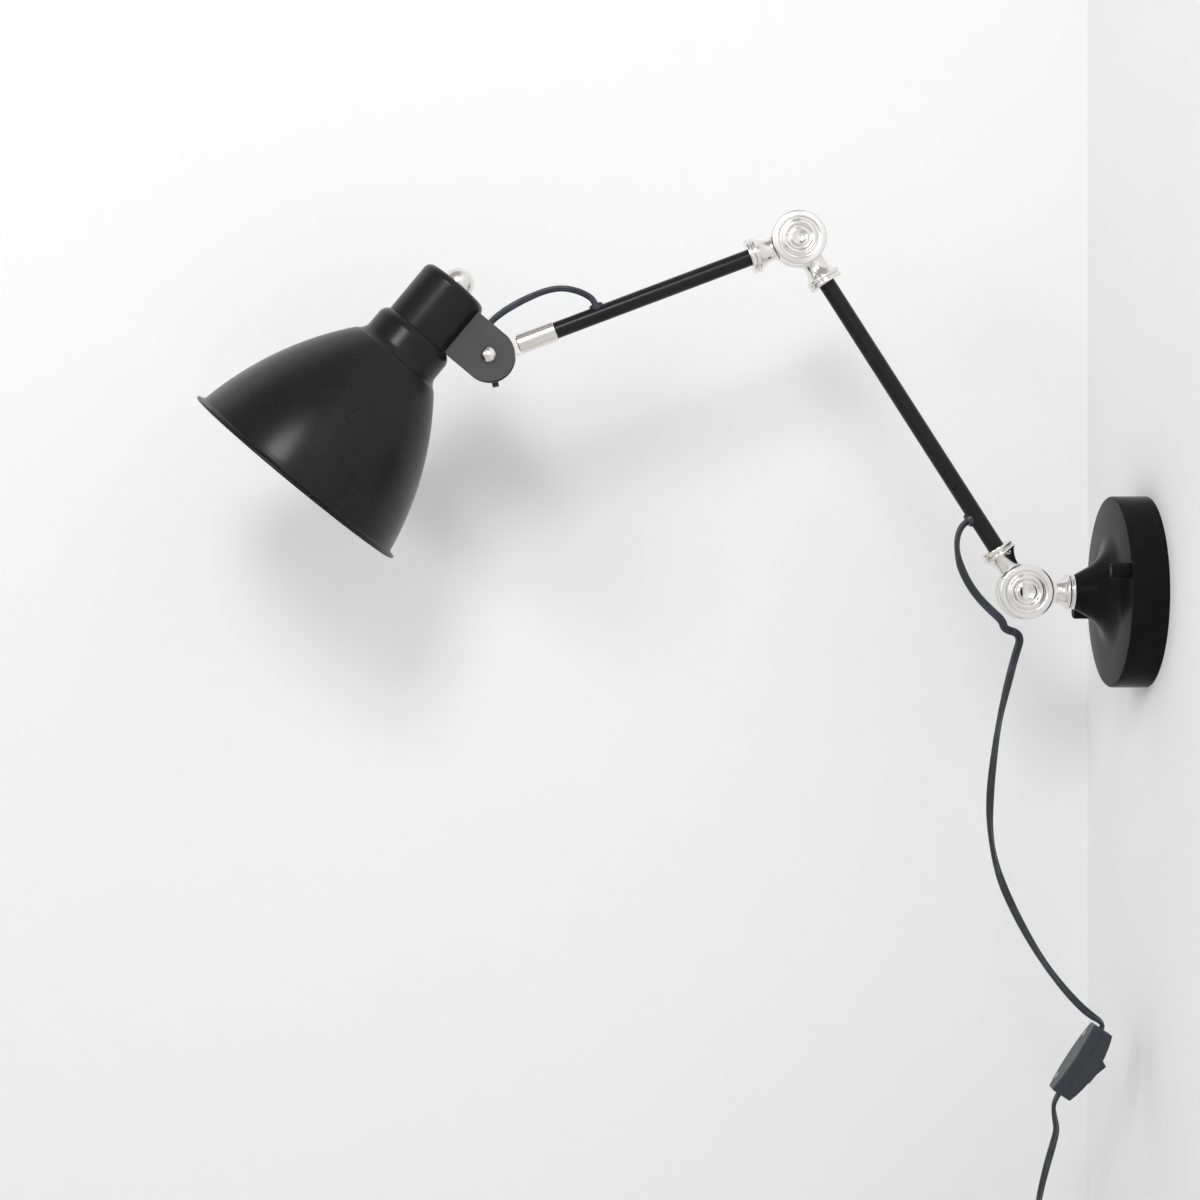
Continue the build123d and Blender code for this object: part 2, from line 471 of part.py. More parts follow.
def socket_cup():
    """Neck above the shade: a deep cup with a foot flange inside the collar."""
    corner, inside = CUP_CORNER, CUP_RADIUS - CUP_WALL
    flange = COLLAR_RADIUS - SHADE_WALL - 0.25
    bow = corner * (1 - sin(pi / 4))
    crown = 0.8
    cup = turned(
        Polyline((inside, CUP_BOTTOM), (flange, CUP_BOTTOM), (flange, CUP_BOTTOM + CUP_WALL),
                 (CUP_RADIUS, CUP_BOTTOM + CUP_WALL), (CUP_RADIUS, CUP_TOP - corner)),
        ThreePointArc((CUP_RADIUS, CUP_TOP - corner), (CUP_RADIUS - bow, CUP_TOP - bow), (CUP_RADIUS - corner, CUP_TOP)),
        Polyline((CUP_RADIUS - corner, CUP_TOP), (FINIAL_RADIUS, CUP_TOP + crown), (ROD_RADIUS + FIT, CUP_TOP + crown),
                 (ROD_RADIUS + FIT, CUP_TOP - CUP_WALL), (inside - corner + CUP_WALL, CUP_TOP - CUP_WALL)),
        ThreePointArc((inside - corner + CUP_WALL, CUP_TOP - CUP_WALL),
                      (inside - bow * 0.76, CUP_TOP - CUP_WALL - bow * 0.76), (inside, CUP_TOP - corner)),
        Line((inside, CUP_TOP - corner), (inside, CUP_BOTTOM)),
    )
    cup = cup - Pos(0, 0, PIVOT_FROM_MOUTH + CORD_ENTRY) * (Rot(Y=90) * rod(CORD_HOLE, 0, 40))
    for step in bracket_screw_steps():
        cup = cup - Pos(0, 0, PIVOT_FROM_MOUTH + step) * (Rot(Y=90) * rod(1.5, 0, 40))
    return cup


def bracket_screw_steps():
    """Heights of the two bracket screws from the head pivot."""
    return (-BRACKET_SCREW_SPACING / 2, BRACKET_SCREW_SPACING / 2)


def clevis_bracket():
    """Two ears on a foot that is hollowed to sit on the cup."""
    reach = PIVOT_OFF_AXIS - CUP_RADIUS + 2.5
    ear = Circle(EAR_WIDTH / 2) + Pos(-reach / 2, 0) * Rectangle(reach, EAR_WIDTH)
    outline = Plane.XZ.offset(-EAR_OUTSIDE) * ear
    block = extrude(outline, 2 * EAR_OUTSIDE)
    foot = PIVOT_OFF_AXIS - CUP_RADIUS - 3.2
    gap = Pos(-foot + 40, 0, 0) * Box(80, 2 * EAR_INSIDE, 60)
    bracket = block - gap - Pos(-PIVOT_OFF_AXIS, 0, 0) * rod(CUP_RADIUS + FACE_GAP, -60, 60)
    bracket = bracket - along_y(rod(HEAD_BOLT_RADIUS + FIT, -20, 20))
    bracket = bracket - Pos(0, 0, CORD_ENTRY) * (Rot(Y=-90) * rod(CORD_HOLE, 0, 60))
    for step in bracket_screw_steps():
        bracket = bracket - Pos(0, 0, step) * (Rot(Y=-90) * rod(1.5, 10, 60))
    return bracket


def bracket_screw():
    """Small pan head screw from inside the cup, along -x of the head frame."""
    wall_inside = PIVOT_OFF_AXIS - CUP_RADIUS + CUP_WALL
    foot = PIVOT_OFF_AXIS - CUP_RADIUS - 3.2
    head = rod(2.7, wall_inside + 0.2, wall_inside + 1.7)
    return Rot(Y=-90) * (head + rod(1.5 - FIT, foot + 0.2, wall_inside + 0.2))


def wing_nut():
    """Two-winged nut along +Y, its wings along z."""
    seat = EAR_OUTSIDE + FACE_GAP
    hub = turned(
        Polyline((HEAD_BOLT_RADIUS + FIT, seat), (6.2, seat), (4.6, seat + 8.0), (HEAD_BOLT_RADIUS + FIT, seat + 8.0),
                 (HEAD_BOLT_RADIUS + FIT, seat)),
    )
    wing = make_face([
        Polyline((3.0, seat + 1.0), (5.4, seat + 1.2), (WING_SPAN - 5.0, seat + 5.2)),
        ThreePointArc((WING_SPAN - 5.0, seat + 5.2), (WING_SPAN, seat + 10.4), (WING_SPAN - 5.6, seat + 13.2)),
        Polyline((WING_SPAN - 5.6, seat + 13.2), (4.2, seat + 7.6), (3.0, seat + 7.6), (3.0, seat + 1.0)),
    ])
    blade = extrude(Plane.XZ.offset(-WING_THICKNESS / 2) * wing, WING_THICKNESS)
    winged = hub
    for turn in (0, 180):
        winged = winged + Rot(Z=turn) * blade - rod(HEAD_BOLT_RADIUS + FIT, 0, 40)
    return Rot(Y=WING_TURN) * along_y(winged)


def head_group():
    """Shade, cup, finial, lamp holder and the clevis with its pivot."""
    write("shade", SHADE * shade())
    write("socket_cup", SHADE * socket_cup())
    seat = CUP_TOP + 0.8
    dome = turned(Polyline((0, seat), (FINIAL_RADIUS, seat), (FINIAL_RADIUS, seat + 1.2)),
                  cap(FINIAL_RADIUS, seat + 1.2, FINIAL_HEIGHT - 1.2), Line((0, seat + FINIAL_HEIGHT), (0, seat)))
    write("finial_nut", SHADE * (dome - rod(ROD_RADIUS + FIT, seat - 1, seat + 4.6)))
    rod_bottom = HOLDER_TOP - 7.0
    write("finial_rod", SHADE * pipe(ROD_RADIUS, ROD_RADIUS - 1.5, rod_bottom, seat + 4.4))
    under_cap = CUP_TOP - CUP_WALL
    write("finial_locknut", SHADE * hex_nut(14, ROD_RADIUS + FIT, under_cap - 3.0, under_cap - FACE_GAP))
    bore = SHELL_RADIUS + SHELL_WALL + FIT
    shell_top = HOLDER_BOTTOM + 1.0 + SHELL_LENGTH
    holder = turned(
        Polyline((bore, HOLDER_BOTTOM), (HOLDER_RADIUS - 1, HOLDER_BOTTOM), (HOLDER_RADIUS, HOLDER_BOTTOM + 1),
                 (HOLDER_RADIUS, HOLDER_TOP - 3), (HOLDER_RADIUS - 3, HOLDER_TOP), (ROD_RADIUS + FIT, HOLDER_TOP),
                 (ROD_RADIUS + FIT, rod_bottom - FACE_GAP), (0, rod_bottom - FACE_GAP), (0, shell_top + 2.4),
                 (bore, shell_top + 2.4), (bore, HOLDER_BOTTOM)),
    )
    write("lamp_holder", SHADE * holder)
    shell = pipe(SHELL_RADIUS + SHELL_WALL, SHELL_RADIUS, shell_top - SHELL_LENGTH, shell_top)
    floor = pipe(SHELL_RADIUS + SHELL_WALL, 6.5, shell_top, shell_top + SHELL_WALL)
    write("screw_shell", SHADE * (shell + floor))
    contact = rod(4.5, shell_top + 0.9, shell_top + 2.3) + rod(3.0, shell_top + BODY_GAP, shell_top + 1.0)
    write("centre_contact", SHADE * contact)
    write("clevis_bracket", HEAD * clevis_bracket())
    write("bracket_screws", *(HEAD * Pos(0, 0, step) * bracket_screw() for step in bracket_screw_steps()))
    bolt_head = turned(Line((0, 0), (HEAD_BOLT_DOME, 0)), cap(HEAD_BOLT_DOME, 0, HEAD_BOLT_HEIGHT),
                       Line((0, HEAD_BOLT_HEIGHT), (0, 0)))
    shank = rod(HEAD_BOLT_RADIUS, -(2 * EAR_OUTSIDE + 11.5), 0)
    write("head_pivot_bolt", HEAD * along_y(Pos(0, 0, EAR_OUTSIDE) * (bolt_head + shank), -1))
    inside = TONGUE_THICKNESS / 2 + FACE_GAP
    washer = pipe(7.6, HEAD_BOLT_RADIUS + FIT, inside, inside + FRICTION_WASHER)
    write("head_friction_washers", *(HEAD * along_y(washer, side) for side in (-1, 1)))
    write("wing_nut", HEAD * wing_nut())


# ---- cord, switch, coil and plug ------------------------------------------------------------------------
def corner_radii(route):
    """Radius of each corner: 0.45 of its shorter run over the tangent of half its turn."""
    radii = []
    for before, here, after in zip(route, route[1:], route[2:]):
        way_in = Vector(*here) - Vector(*before)
        way_out = Vector(*after) - Vector(*here)
        half_turn = radians(way_in.get_angle(way_out)) / 2
        radii.append(0.45 * min(way_in.length, way_out.length) / tan(half_turn))
    return radii


def cord_tube(name, route):
    """Round tube on straight runs and tangent arcs, printed with its length and volume."""
    radii = corner_radii(route)
    path = FilletPolyline(*route, radius=radii)
    tube = sweep(Plane(origin=path @ 0, z_dir=path % 0) * Circle(CORD_RADIUS), path=path)
    expected = pi * CORD_RADIUS ** 2 * path.length
    print(name, "length", round(path.length, 1), "radii", [round(radius, 1) for radius in radii],
          "volume", round(tube.volume / expected, 4))
    write(name, tube)
    return path.length


def coil_point(turn):
    """Point of the coil's centreline, turn in quarter turns from its start."""
    middle = COIL_QUARTERS / 2
    wound = middle - abs(turn - middle)
    radius = COIL_OUTER - COIL_PITCH * wound / 4
    climb = min(max((turn - middle) / 2 + 0.5, 0), 1)
    layer = COIL_LAYER * (climb * climb * (3 - 2 * climb) - 0.5)
    angle = radians(COIL_START - 90 * turn)
    return Vector(COIL_CENTRE[0] + radius * cos(angle), layer, COIL_CENTRE[1] + radius * sin(angle))


def coil_heading(turn):
    """Unit tangent of the coil's centreline."""
    step = 0.01
    return (coil_point(turn + step) - coil_point(turn - step)).normalized()


def biarc(start, start_heading, end, end_heading):
    """Two arcs that leave start and reach end along the given headings."""
    gap = end - start
    both = start_heading + end_heading
    a = 2 * (1 - start_heading.dot(end_heading))
    b = 2 * gap.dot(both)
    c = -gap.dot(gap)
    reach = (-b + (b * b - 4 * a * c) ** 0.5) / (2 * a)
    first, second = start + start_heading * reach, end - end_heading * reach
    joint = (first + second) / 2
    return [TangentArc(start, joint, tangent=start_heading),
            TangentArc(joint, end, tangent=(second - first).normalized())]


def cord_coil():
    """The put-away cord: two layers of turns, in and out again, as one tube on biarcs."""
    edges = []
    for quarter in range(COIL_QUARTERS):
        edges += biarc(coil_point(quarter), coil_heading(quarter),
                       coil_point(quarter + 1), coil_heading(quarter + 1))
    path = Wire(edges)
    tube = sweep(Plane(origin=coil_point(0), z_dir=coil_heading(0)) * Circle(CORD_RADIUS), path=path)
    print("cord_coil length", round(path.length, 1), "volume",
          round(tube.volume / (pi * CORD_RADIUS ** 2 * path.length), 4), "least gap", round(least_gap(), 2))
    write("cord_coil", tube)
    return path.length


def least_gap():
    """Smallest distance between turns of the coil, surface to surface, measured on points."""
    per_quarter, near = 12, 3
    points = [tuple(coil_point(k / per_quarter)) for k in range(COIL_QUARTERS * per_quarter + 1)]
    skip = near * per_quarter
    best = min(dist(p, q) for k, p in enumerate(points) for q in points[k + skip:])
    return best - 2 * CORD_RADIUS


def coil_tie():
    """Band round the whole bundle at the coil's top."""
    inner = COIL_OUTER - COIL_PITCH * COIL_QUARTERS / 8
    low, high = inner - CORD_RADIUS - 0.5, COIL_OUTER + CORD_RADIUS + 0.5
    depth = COIL_LAYER + 2 * CORD_RADIUS + 0.9
    outside = Pos((low + high) / 2, 0) * RectangleRounded(high - low + 2.4, depth + 2.4, 2.4)
    inside = Pos((low + high) / 2, 0) * RectangleRounded(high - low, depth, 1.4)
    band = extrude(outside - inside, 2.2, both=True)
    here = Plane(origin=(COIL_CENTRE[0], 0, COIL_CENTRE[1]), x_dir=(0, 0, 1), z_dir=(1, 0, 0))
    return here * band


def switch_plan(inset):
    """Lens-shaped plan in the switch's y and z, drawn as (y, z)."""
    wide, narrow, end = SWITCH_HALF_WIDTH - inset, SWITCH_END_HALF_WIDTH - inset * 0.8, SWITCH_LENGTH / 2 - inset
    return make_face([
        ThreePointArc((-narrow, -end), (-wide, 0), (-narrow, end)), Line((-narrow, end), (narrow, end)),
        ThreePointArc((narrow, end), (wide, 0), (narrow, -end)), Line((narrow, -end), (-narrow, -end)),
    ])


def across_switch(plan, low, high):
    """Extrude a (y, z) plan along the switch's x from low to high."""
    plane = Plane(origin=(low, 0, 0), x_dir=(0, 1, 0), z_dir=(1, 0, 0))
    return extrude(plane * plan, high - low)


def switch_group():
    """In-line rocker switch: two shells, rocker, contacts and screws."""
    bulge = SWITCH_CROWN - SWITCH_END_HEIGHT
    crown_radius = ((SWITCH_LENGTH / 2) ** 2 + bulge ** 2) / (2 * bulge)
    crown = Pos(SWITCH_CROWN - crown_radius, 0, 0) * along_y(rod(crown_radius, -20, 20))
    cord_way = rod(CORD_RADIUS + FIT, -SWITCH_LENGTH, SWITCH_LENGTH)
    front = across_switch(switch_plan(0), 0.05, SWITCH_CROWN + 1) & crown
    back = across_switch(switch_plan(0), -SWITCH_BACK, -0.05)
    back = chamfer(back.faces().sort_by(Axis.X)[0].edges(), 0.8)
    front = front - across_switch(switch_plan(SWITCH_WALL), -1, 3.2) - cord_way
    back = back - across_switch(switch_plan(SWITCH_WALL), -SWITCH_BACK + SWITCH_WALL, 1) - cord_way
    well = Pos(AXLE_HEIGHT, 0, 0) * Box(20, 2 * ROCKER_HALF_WIDTH + 0.4, 2 * hypot(ROCKER_TOP, ROCKER_HALF_LENGTH) + 0.7)
    axle_hole = Pos(AXLE_HEIGHT, 0, 0) * along_y(rod(AXLE_RADIUS + FIT, -6.6, 6.6))
    front = front - well - axle_hole
    screws = []
    floor = -SWITCH_BACK + SWITCH_WALL
    for height in (-15.5, 15.5):
        axis = Pos(0, SCREW_OFFSET, height) * Rot(Y=90)
        front = front + axis * rod(2.6, 0.05, 3.4) - axis * rod(1.2 + FIT, -1, 6.0)
        back = back + axis * rod(2.6, floor - 0.5, -0.05) - axis * rod(1.2 + FIT, -10, 1)
        back = back - axis * rod(2.2 + FIT, -10, floor + 0.2)
        screws.append(axis * (rod(2.2, -SWITCH_BACK + 0.3, floor + 0.1) + rod(1.2, floor, 5.6)))
    write("switch_front_shell", SWITCH * front)
    write("switch_back_shell", SWITCH * back)
    write("switch_screws", *(SWITCH * screw for screw in screws))
    fixed = Pos(floor + 0.55, 0, 12.5) * Box(1.0, 4.0, 9.0)
    spring = Pos(floor + 0.55, 0, -6.0) * Box(1.0, 4.0, 20.0) + Pos(floor + 1.7, 0, 2.0) * Box(1.4, 3.0, 3.0)
    write("switch_contacts", SWITCH * fixed, SWITCH * spring)
    profile = make_face(Polyline(
        (-ROCKER_HALF_LENGTH, ROCKER_TOP), (0, ROCKER_TOP - 0.7), (ROCKER_HALF_LENGTH, ROCKER_TOP),
        (hypot(ROCKER_TOP, ROCKER_HALF_LENGTH) - 0.4, 0), (2.2, -3.2), (-2.2, -3.2),
        (-hypot(ROCKER_TOP, ROCKER_HALF_LENGTH) + 0.4, 0), close=True))
    side_plane = Plane(origin=(0, -ROCKER_HALF_WIDTH, 0), x_dir=(0, 0, 1), z_dir=(0, 1, 0))
    rocker = extrude(side_plane * profile, 2 * ROCKER_HALF_WIDTH) + along_y(rod(AXLE_RADIUS, -6.3, 6.3))
    write("switch_rocker", SWITCH * Pos(AXLE_HEIGHT, 0, 0) * Rot(Y=ROCKER_TILT) * rocker)


def plug_group(exit_point):
    """Two-blade plug below the point where its lead ends, pointing down."""
    here = Plane(origin=exit_point, x_dir=(1, 0, 0), z_dir=(0, 0, -1))
    neck = loft([Plane.XY.offset(1.0) * Circle(4.2), Plane.XY.offset(PLUG_RELIEF) * Circle(6.6)])
    shoulder = loft([Plane.XY.offset(PLUG_RELIEF - 3) * RectangleRounded(13, 11, 5.2),
                     Plane.XY.offset(PLUG_RELIEF + 4) * RectangleRounded(PLUG_WIDTH, PLUG_THICKNESS, 5.2)])
    block = Pos(0, 0, PLUG_RELIEF + 4) * extrude(RectangleRounded(PLUG_WIDTH, PLUG_THICKNESS, 5.2), PLUG_BODY - 4)
    body = neck + shoulder + block - rod(CORD_RADIUS + FIT, 0, 5)
    blades = []
    for side in (-1, 1):
        face = PLUG_RELIEF + PLUG_BODY
        blade = Pos(side * BLADE_SPACING / 2, 0, face - 6) * extrude(Rectangle(BLADE[1], BLADE[0]), 6 + BLADE[2])
        body = body - Pos(side * BLADE_SPACING / 2, 0, face - 6) * extrude(
            Rectangle(BLADE[1] + 2 * FIT, BLADE[0] + 2 * FIT), 7)
        hole = Pos(side * BLADE_SPACING / 2, 0, face + BLADE[2] - 4.5) * (Rot(Y=90) * rod(1.6, -2, 2))
        blades.append(blade - hole)
    write("plug_body", here * body)
    write("plug_blades", *(here * blade for blade in blades))


def cord_group():
    """All stretches of the cord, in order from the head to the plug."""
    from_tube, clear = TUBE_RADIUS - 1.6, TUBE_RADIUS + 4.0
    upper_exit = HEAD_PIVOT + polar(UPPER_ARM_ANGLE - 180) * UPPER_HOLE_FROM_PIVOT
    upper_out = polar(UPPER_ARM_ANGLE - 90)
    lower_exit = BASE_HINGE + polar(LOWER_ARM_ANGLE) * LOWER_HOLE_FROM_HINGE
    lower_out = polar(LOWER_ARM_ANGLE + 90)
    entry = HEAD_PIVOT + polar(SHADE_ANGLE) * CORD_ENTRY
    inward = polar(SHADE_ANGLE + 90)
    cord_end = entry + inward * (PIVOT_OFF_AXIS - HOLDER_RADIUS - BODY_GAP)
    cord_turn = entry + inward * (PIVOT_OFF_AXIS - CUP_RADIUS - 6.0)
    above_turn = cord_turn + polar(SHADE_ANGLE) * 5.4 - inward * 2.4
    total = cord_tube("head_cord", [tuple(upper_exit + upper_out * from_tube), tuple(upper_exit + upper_out * clear),
                                    *HEAD_ROUTE, tuple(above_turn), tuple(cord_turn), tuple(cord_end)])
    lengths = [cord_tube("arm_cord", [tuple(lower_exit + lower_out * from_tube),
                                      tuple(lower_exit + lower_out * clear), *ARM_ROUTE])]
    lean = polar(SWITCH_LEAN)
    middle = Vector(SWITCH_CENTRE[0], 0, SWITCH_CENTRE[1])
    top, bottom = middle + lean * (SWITCH_LENGTH / 2), middle - lean * (SWITCH_LENGTH / 2)
    lengths.append(cord_tube("hanging_cord", [*HANGING_ROUTE, tuple(top + lean * 2.0), tuple(top - lean * 1.8)]))
    lengths.append(SWITCH_LENGTH)
    into_coil, coil_way = coil_point(0), coil_heading(0)
    lengths.append(cord_tube("tail_cord", [tuple(bottom + lean * 1.8), tuple(bottom - lean * 2.2), *TAIL_ROUTE,
                                           tuple(into_coil - coil_way * 16), tuple(into_coil)]))
    lengths.append(cord_coil())
    write("coil_tie", coil_tie())
    out_of_coil, lead_way = coil_point(COIL_QUARTERS), coil_heading(COIL_QUARTERS)
    plug_at = Vector(PLUG_ROUTE[-1][0], PLUG_ROUTE[-1][1], PLUG_ROUTE[-1][2] - 9.0)
    lengths.append(cord_tube("plug_lead", [tuple(out_of_coil), tuple(out_of_coil + lead_way * LEAD_RUN), *PLUG_ROUTE,
                                           tuple(plug_at)]))
    plug_group(plug_at + Vector(0, 0, 4.8))
    print("cord from the lower arm to the plug", round(sum(lengths)), "and the head loop", round(total))


def main():
    """Write every sub-part."""
    os.makedirs("parts", exist_ok=True)
    canopy_group()
    base_knuckle_group()
    lower_arm_group()
    upper_arm_group()
    head_group()
    switch_group()
    cord_group()


main()
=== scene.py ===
"""Articulating wall lamp: finishes, turned shells, flat cords, the room's corner, light and camera.

Metres, +Z up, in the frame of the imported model. The wall is X = 0 and the arms lie in Y = 0.
"""
import logging
import math
from dataclasses import dataclass
from enum import Enum
from typing import Optional, Sequence

import bpy
from mathutils import Matrix, Quaternion, Vector

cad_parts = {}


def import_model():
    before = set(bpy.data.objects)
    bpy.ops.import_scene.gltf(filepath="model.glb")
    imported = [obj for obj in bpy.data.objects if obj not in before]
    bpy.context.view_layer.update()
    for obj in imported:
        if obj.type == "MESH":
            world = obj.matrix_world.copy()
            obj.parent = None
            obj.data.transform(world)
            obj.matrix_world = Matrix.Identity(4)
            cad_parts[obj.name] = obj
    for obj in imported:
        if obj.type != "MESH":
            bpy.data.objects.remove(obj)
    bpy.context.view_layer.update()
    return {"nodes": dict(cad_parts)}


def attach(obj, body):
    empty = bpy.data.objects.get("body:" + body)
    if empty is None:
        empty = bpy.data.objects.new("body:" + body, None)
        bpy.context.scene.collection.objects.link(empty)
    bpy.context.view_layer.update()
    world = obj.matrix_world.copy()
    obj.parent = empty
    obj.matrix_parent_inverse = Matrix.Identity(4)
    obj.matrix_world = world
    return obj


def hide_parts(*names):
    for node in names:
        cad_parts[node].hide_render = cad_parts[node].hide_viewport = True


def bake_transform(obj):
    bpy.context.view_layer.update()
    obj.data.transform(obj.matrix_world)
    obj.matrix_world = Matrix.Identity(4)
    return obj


LOG = logging.getLogger("wall_lamp")
MM = 0.001
Point = tuple[float, float, float]
Pair = tuple[float, float]
Piece = bpy.types.Object
Material = bpy.types.Material
Tree = bpy.types.NodeTree
Node = bpy.types.Node
Socket = bpy.types.NodeSocket


class Body(str, Enum):
    """The moving bodies of the lamp."""

    WALL = "wall_base"
    KNUCKLE = "base_knuckle"
    LOWER = "lower_arm"
    UPPER = "upper_arm"
    HEAD = "head"


class Slot(str, Enum):
    """The record's material slots."""

    BLACK_SATIN = "black_satin"
    BLACK_GLOSS = "black_gloss"
    ZINC = "zinc_steel"
    NICKEL = "nickel"
    WASHER = "friction_washer"
    BRACKET = "grey_bracket"
    WING = "black_wing"
    GROMMET = "grommet"
    CORD = "cord"
    TIE = "tie"
    SWITCH = "switch_black"
    PLUG = "plug_black"
    CONTACTS = "contacts"
    PORCELAIN = "porcelain"


def polar(angle: float) -> Vector:
    """Unit vector in the XZ plane, angle in degrees from +X towards +Z."""
    return Vector((math.cos(math.radians(angle)), 0.0, math.sin(math.radians(angle))))


def in_metres(points: Sequence[Point]) -> list[Vector]:
    """Points given in millimetres, in metres."""
    return [Vector(point) * MM for point in points]


@dataclass(frozen=True)
class Layout:
    """Where the hinges and the shade are, as the lamp is set."""

    hinge_from_wall: float = 0.0744
    lower_length: float = 0.2597
    upper_length: float = 0.2050
    lower_angle: float = 122.64
    upper_angle: float = 200.63
    shade_angle: float = 50.1
    pivot_from_mouth: float = 0.1345
    pivot_off_axis: float = 0.0432
    lower_hole_from_hinge: float = 0.056
    upper_hole_from_pivot: float = 0.073

    @property
    def base_hinge(self) -> Vector:
        """Centre of the base knuckle."""
        return Vector((-self.hinge_from_wall, 0.0, 0.0))

    @property
    def elbow(self) -> Vector:
        """Centre of the elbow knuckle."""
        return self.base_hinge + polar(self.lower_angle) * self.lower_length

    @property
    def head_pivot(self) -> Vector:
        """Centre of the bolt between the stem and the bracket."""
        return self.elbow + polar(self.upper_angle) * self.upper_length

    @property
    def mouth(self) -> Vector:
        """Centre of the shade's mouth."""
        across = polar(self.shade_angle - 90) * self.pivot_off_axis
        return self.head_pivot - polar(self.shade_angle) * self.pivot_from_mouth - across

    @property
    def lower_exit(self) -> Vector:
        """Axis point of the lower arm at its cord hole."""
        return self.base_hinge + polar(self.lower_angle) * self.lower_hole_from_hinge

    @property
    def upper_exit(self) -> Vector:
        """Axis point of the upper arm at its cord hole."""
        return self.head_pivot + polar(self.upper_angle - 180) * self.upper_hole_from_pivot


LAYOUT = Layout()


def axes_along(centre: Vector, direction: Vector) -> Matrix:
    """Matrix that takes +Z to a direction in the XZ plane and keeps +Y.

    Args:
        centre: where the origin goes.
        direction: unit vector for the local +Z.

    Returns:
        The placing matrix.
    """
    side = Vector((0.0, 1.0, 0.0))
    cross = side.cross(direction)
    turn = Matrix((cross, side, direction)).transposed().to_4x4()
    return Matrix.Translation(centre) @ turn


# ---- objects and meshes
def add_object(name: str, data: bpy.types.ID) -> Piece:
    """New object in the scene.

    Args:
        name: its name.
        data: its mesh, curve, lamp or camera.

    Returns:
        The object.
    """
    made = bpy.data.objects.new(name, data)
    bpy.context.scene.collection.objects.link(made)
    return made


def add_spline(name: str, kind: str, points: Sequence[Sequence[float]]) -> Piece:
    """New curve object of one open spline.

    Args:
        name: the object's name.
        kind: the spline's type.
        points: its control points.

    Returns:
        The object.
    """
    curve = bpy.data.curves.new(name, "CURVE")
    curve.dimensions = "3D"
    spline = curve.splines.new(kind)
    spline.points.add(len(points) - 1)
    for made, point in zip(spline.points, points):
        made.co = (*point, 1.0)
    return add_object(name, curve)


def evaluated_mesh(source: Piece) -> bpy.types.Mesh:
    """Plain mesh of an object as its spline or its modifier makes it."""
    graph = bpy.context.evaluated_depsgraph_get()
    return bpy.data.meshes.new_from_object(source.evaluated_get(graph), depsgraph=graph)


def face_outwards(piece: Piece) -> None:
    """Turn the faces of a closed mesh outwards, told by its signed volume.

    Args:
        piece: the closed piece.
    """
    mesh = piece.data
    mesh.calc_loop_triangles()
    corners = mesh.vertices
    volume = sum(corners[a].co.dot(corners[b].co.cross(corners[c].co))
                 for a, b, c in (tuple(face.vertices) for face in mesh.loop_triangles))
    if volume < 0:
        mesh.flip_normals()


def mesh_piece(name: str, points: Sequence[Vector], faces: Sequence[Sequence[int]],
               finish: Material, smooth: bool = True) -> Piece:
    """Plain mesh piece from points and faces.

    Args:
        name: the piece's name.
        points: vertex places in the model's frame.
        faces: vertex numbers of each face.
        finish: the material.
        smooth: whether the faces shade smoothly.

    Returns:
        The piece.
    """
    mesh = bpy.data.meshes.new(name)
    mesh.from_pydata([tuple(point) for point in points], [], [tuple(face) for face in faces])
    mesh.materials.append(finish)
    mesh.shade_smooth() if smooth else mesh.shade_flat()
    return add_object(name, mesh)


def settle(piece: Piece, body: Body, slot: Slot, *nodes: str) -> None:
    """Let a piece ride on a body and hide the nodes that it stands for.

    Args:
        piece: the finished piece.
        body: the body that carries it.
        slot: not used.
        *nodes: the CAD nodes that it stands for.
    """
    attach(piece, body.value)
    if nodes:
        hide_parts(*nodes)
    LOG.info("%s: %d faces, rides on %s", piece.name, len(piece.data.polygons), body.value)


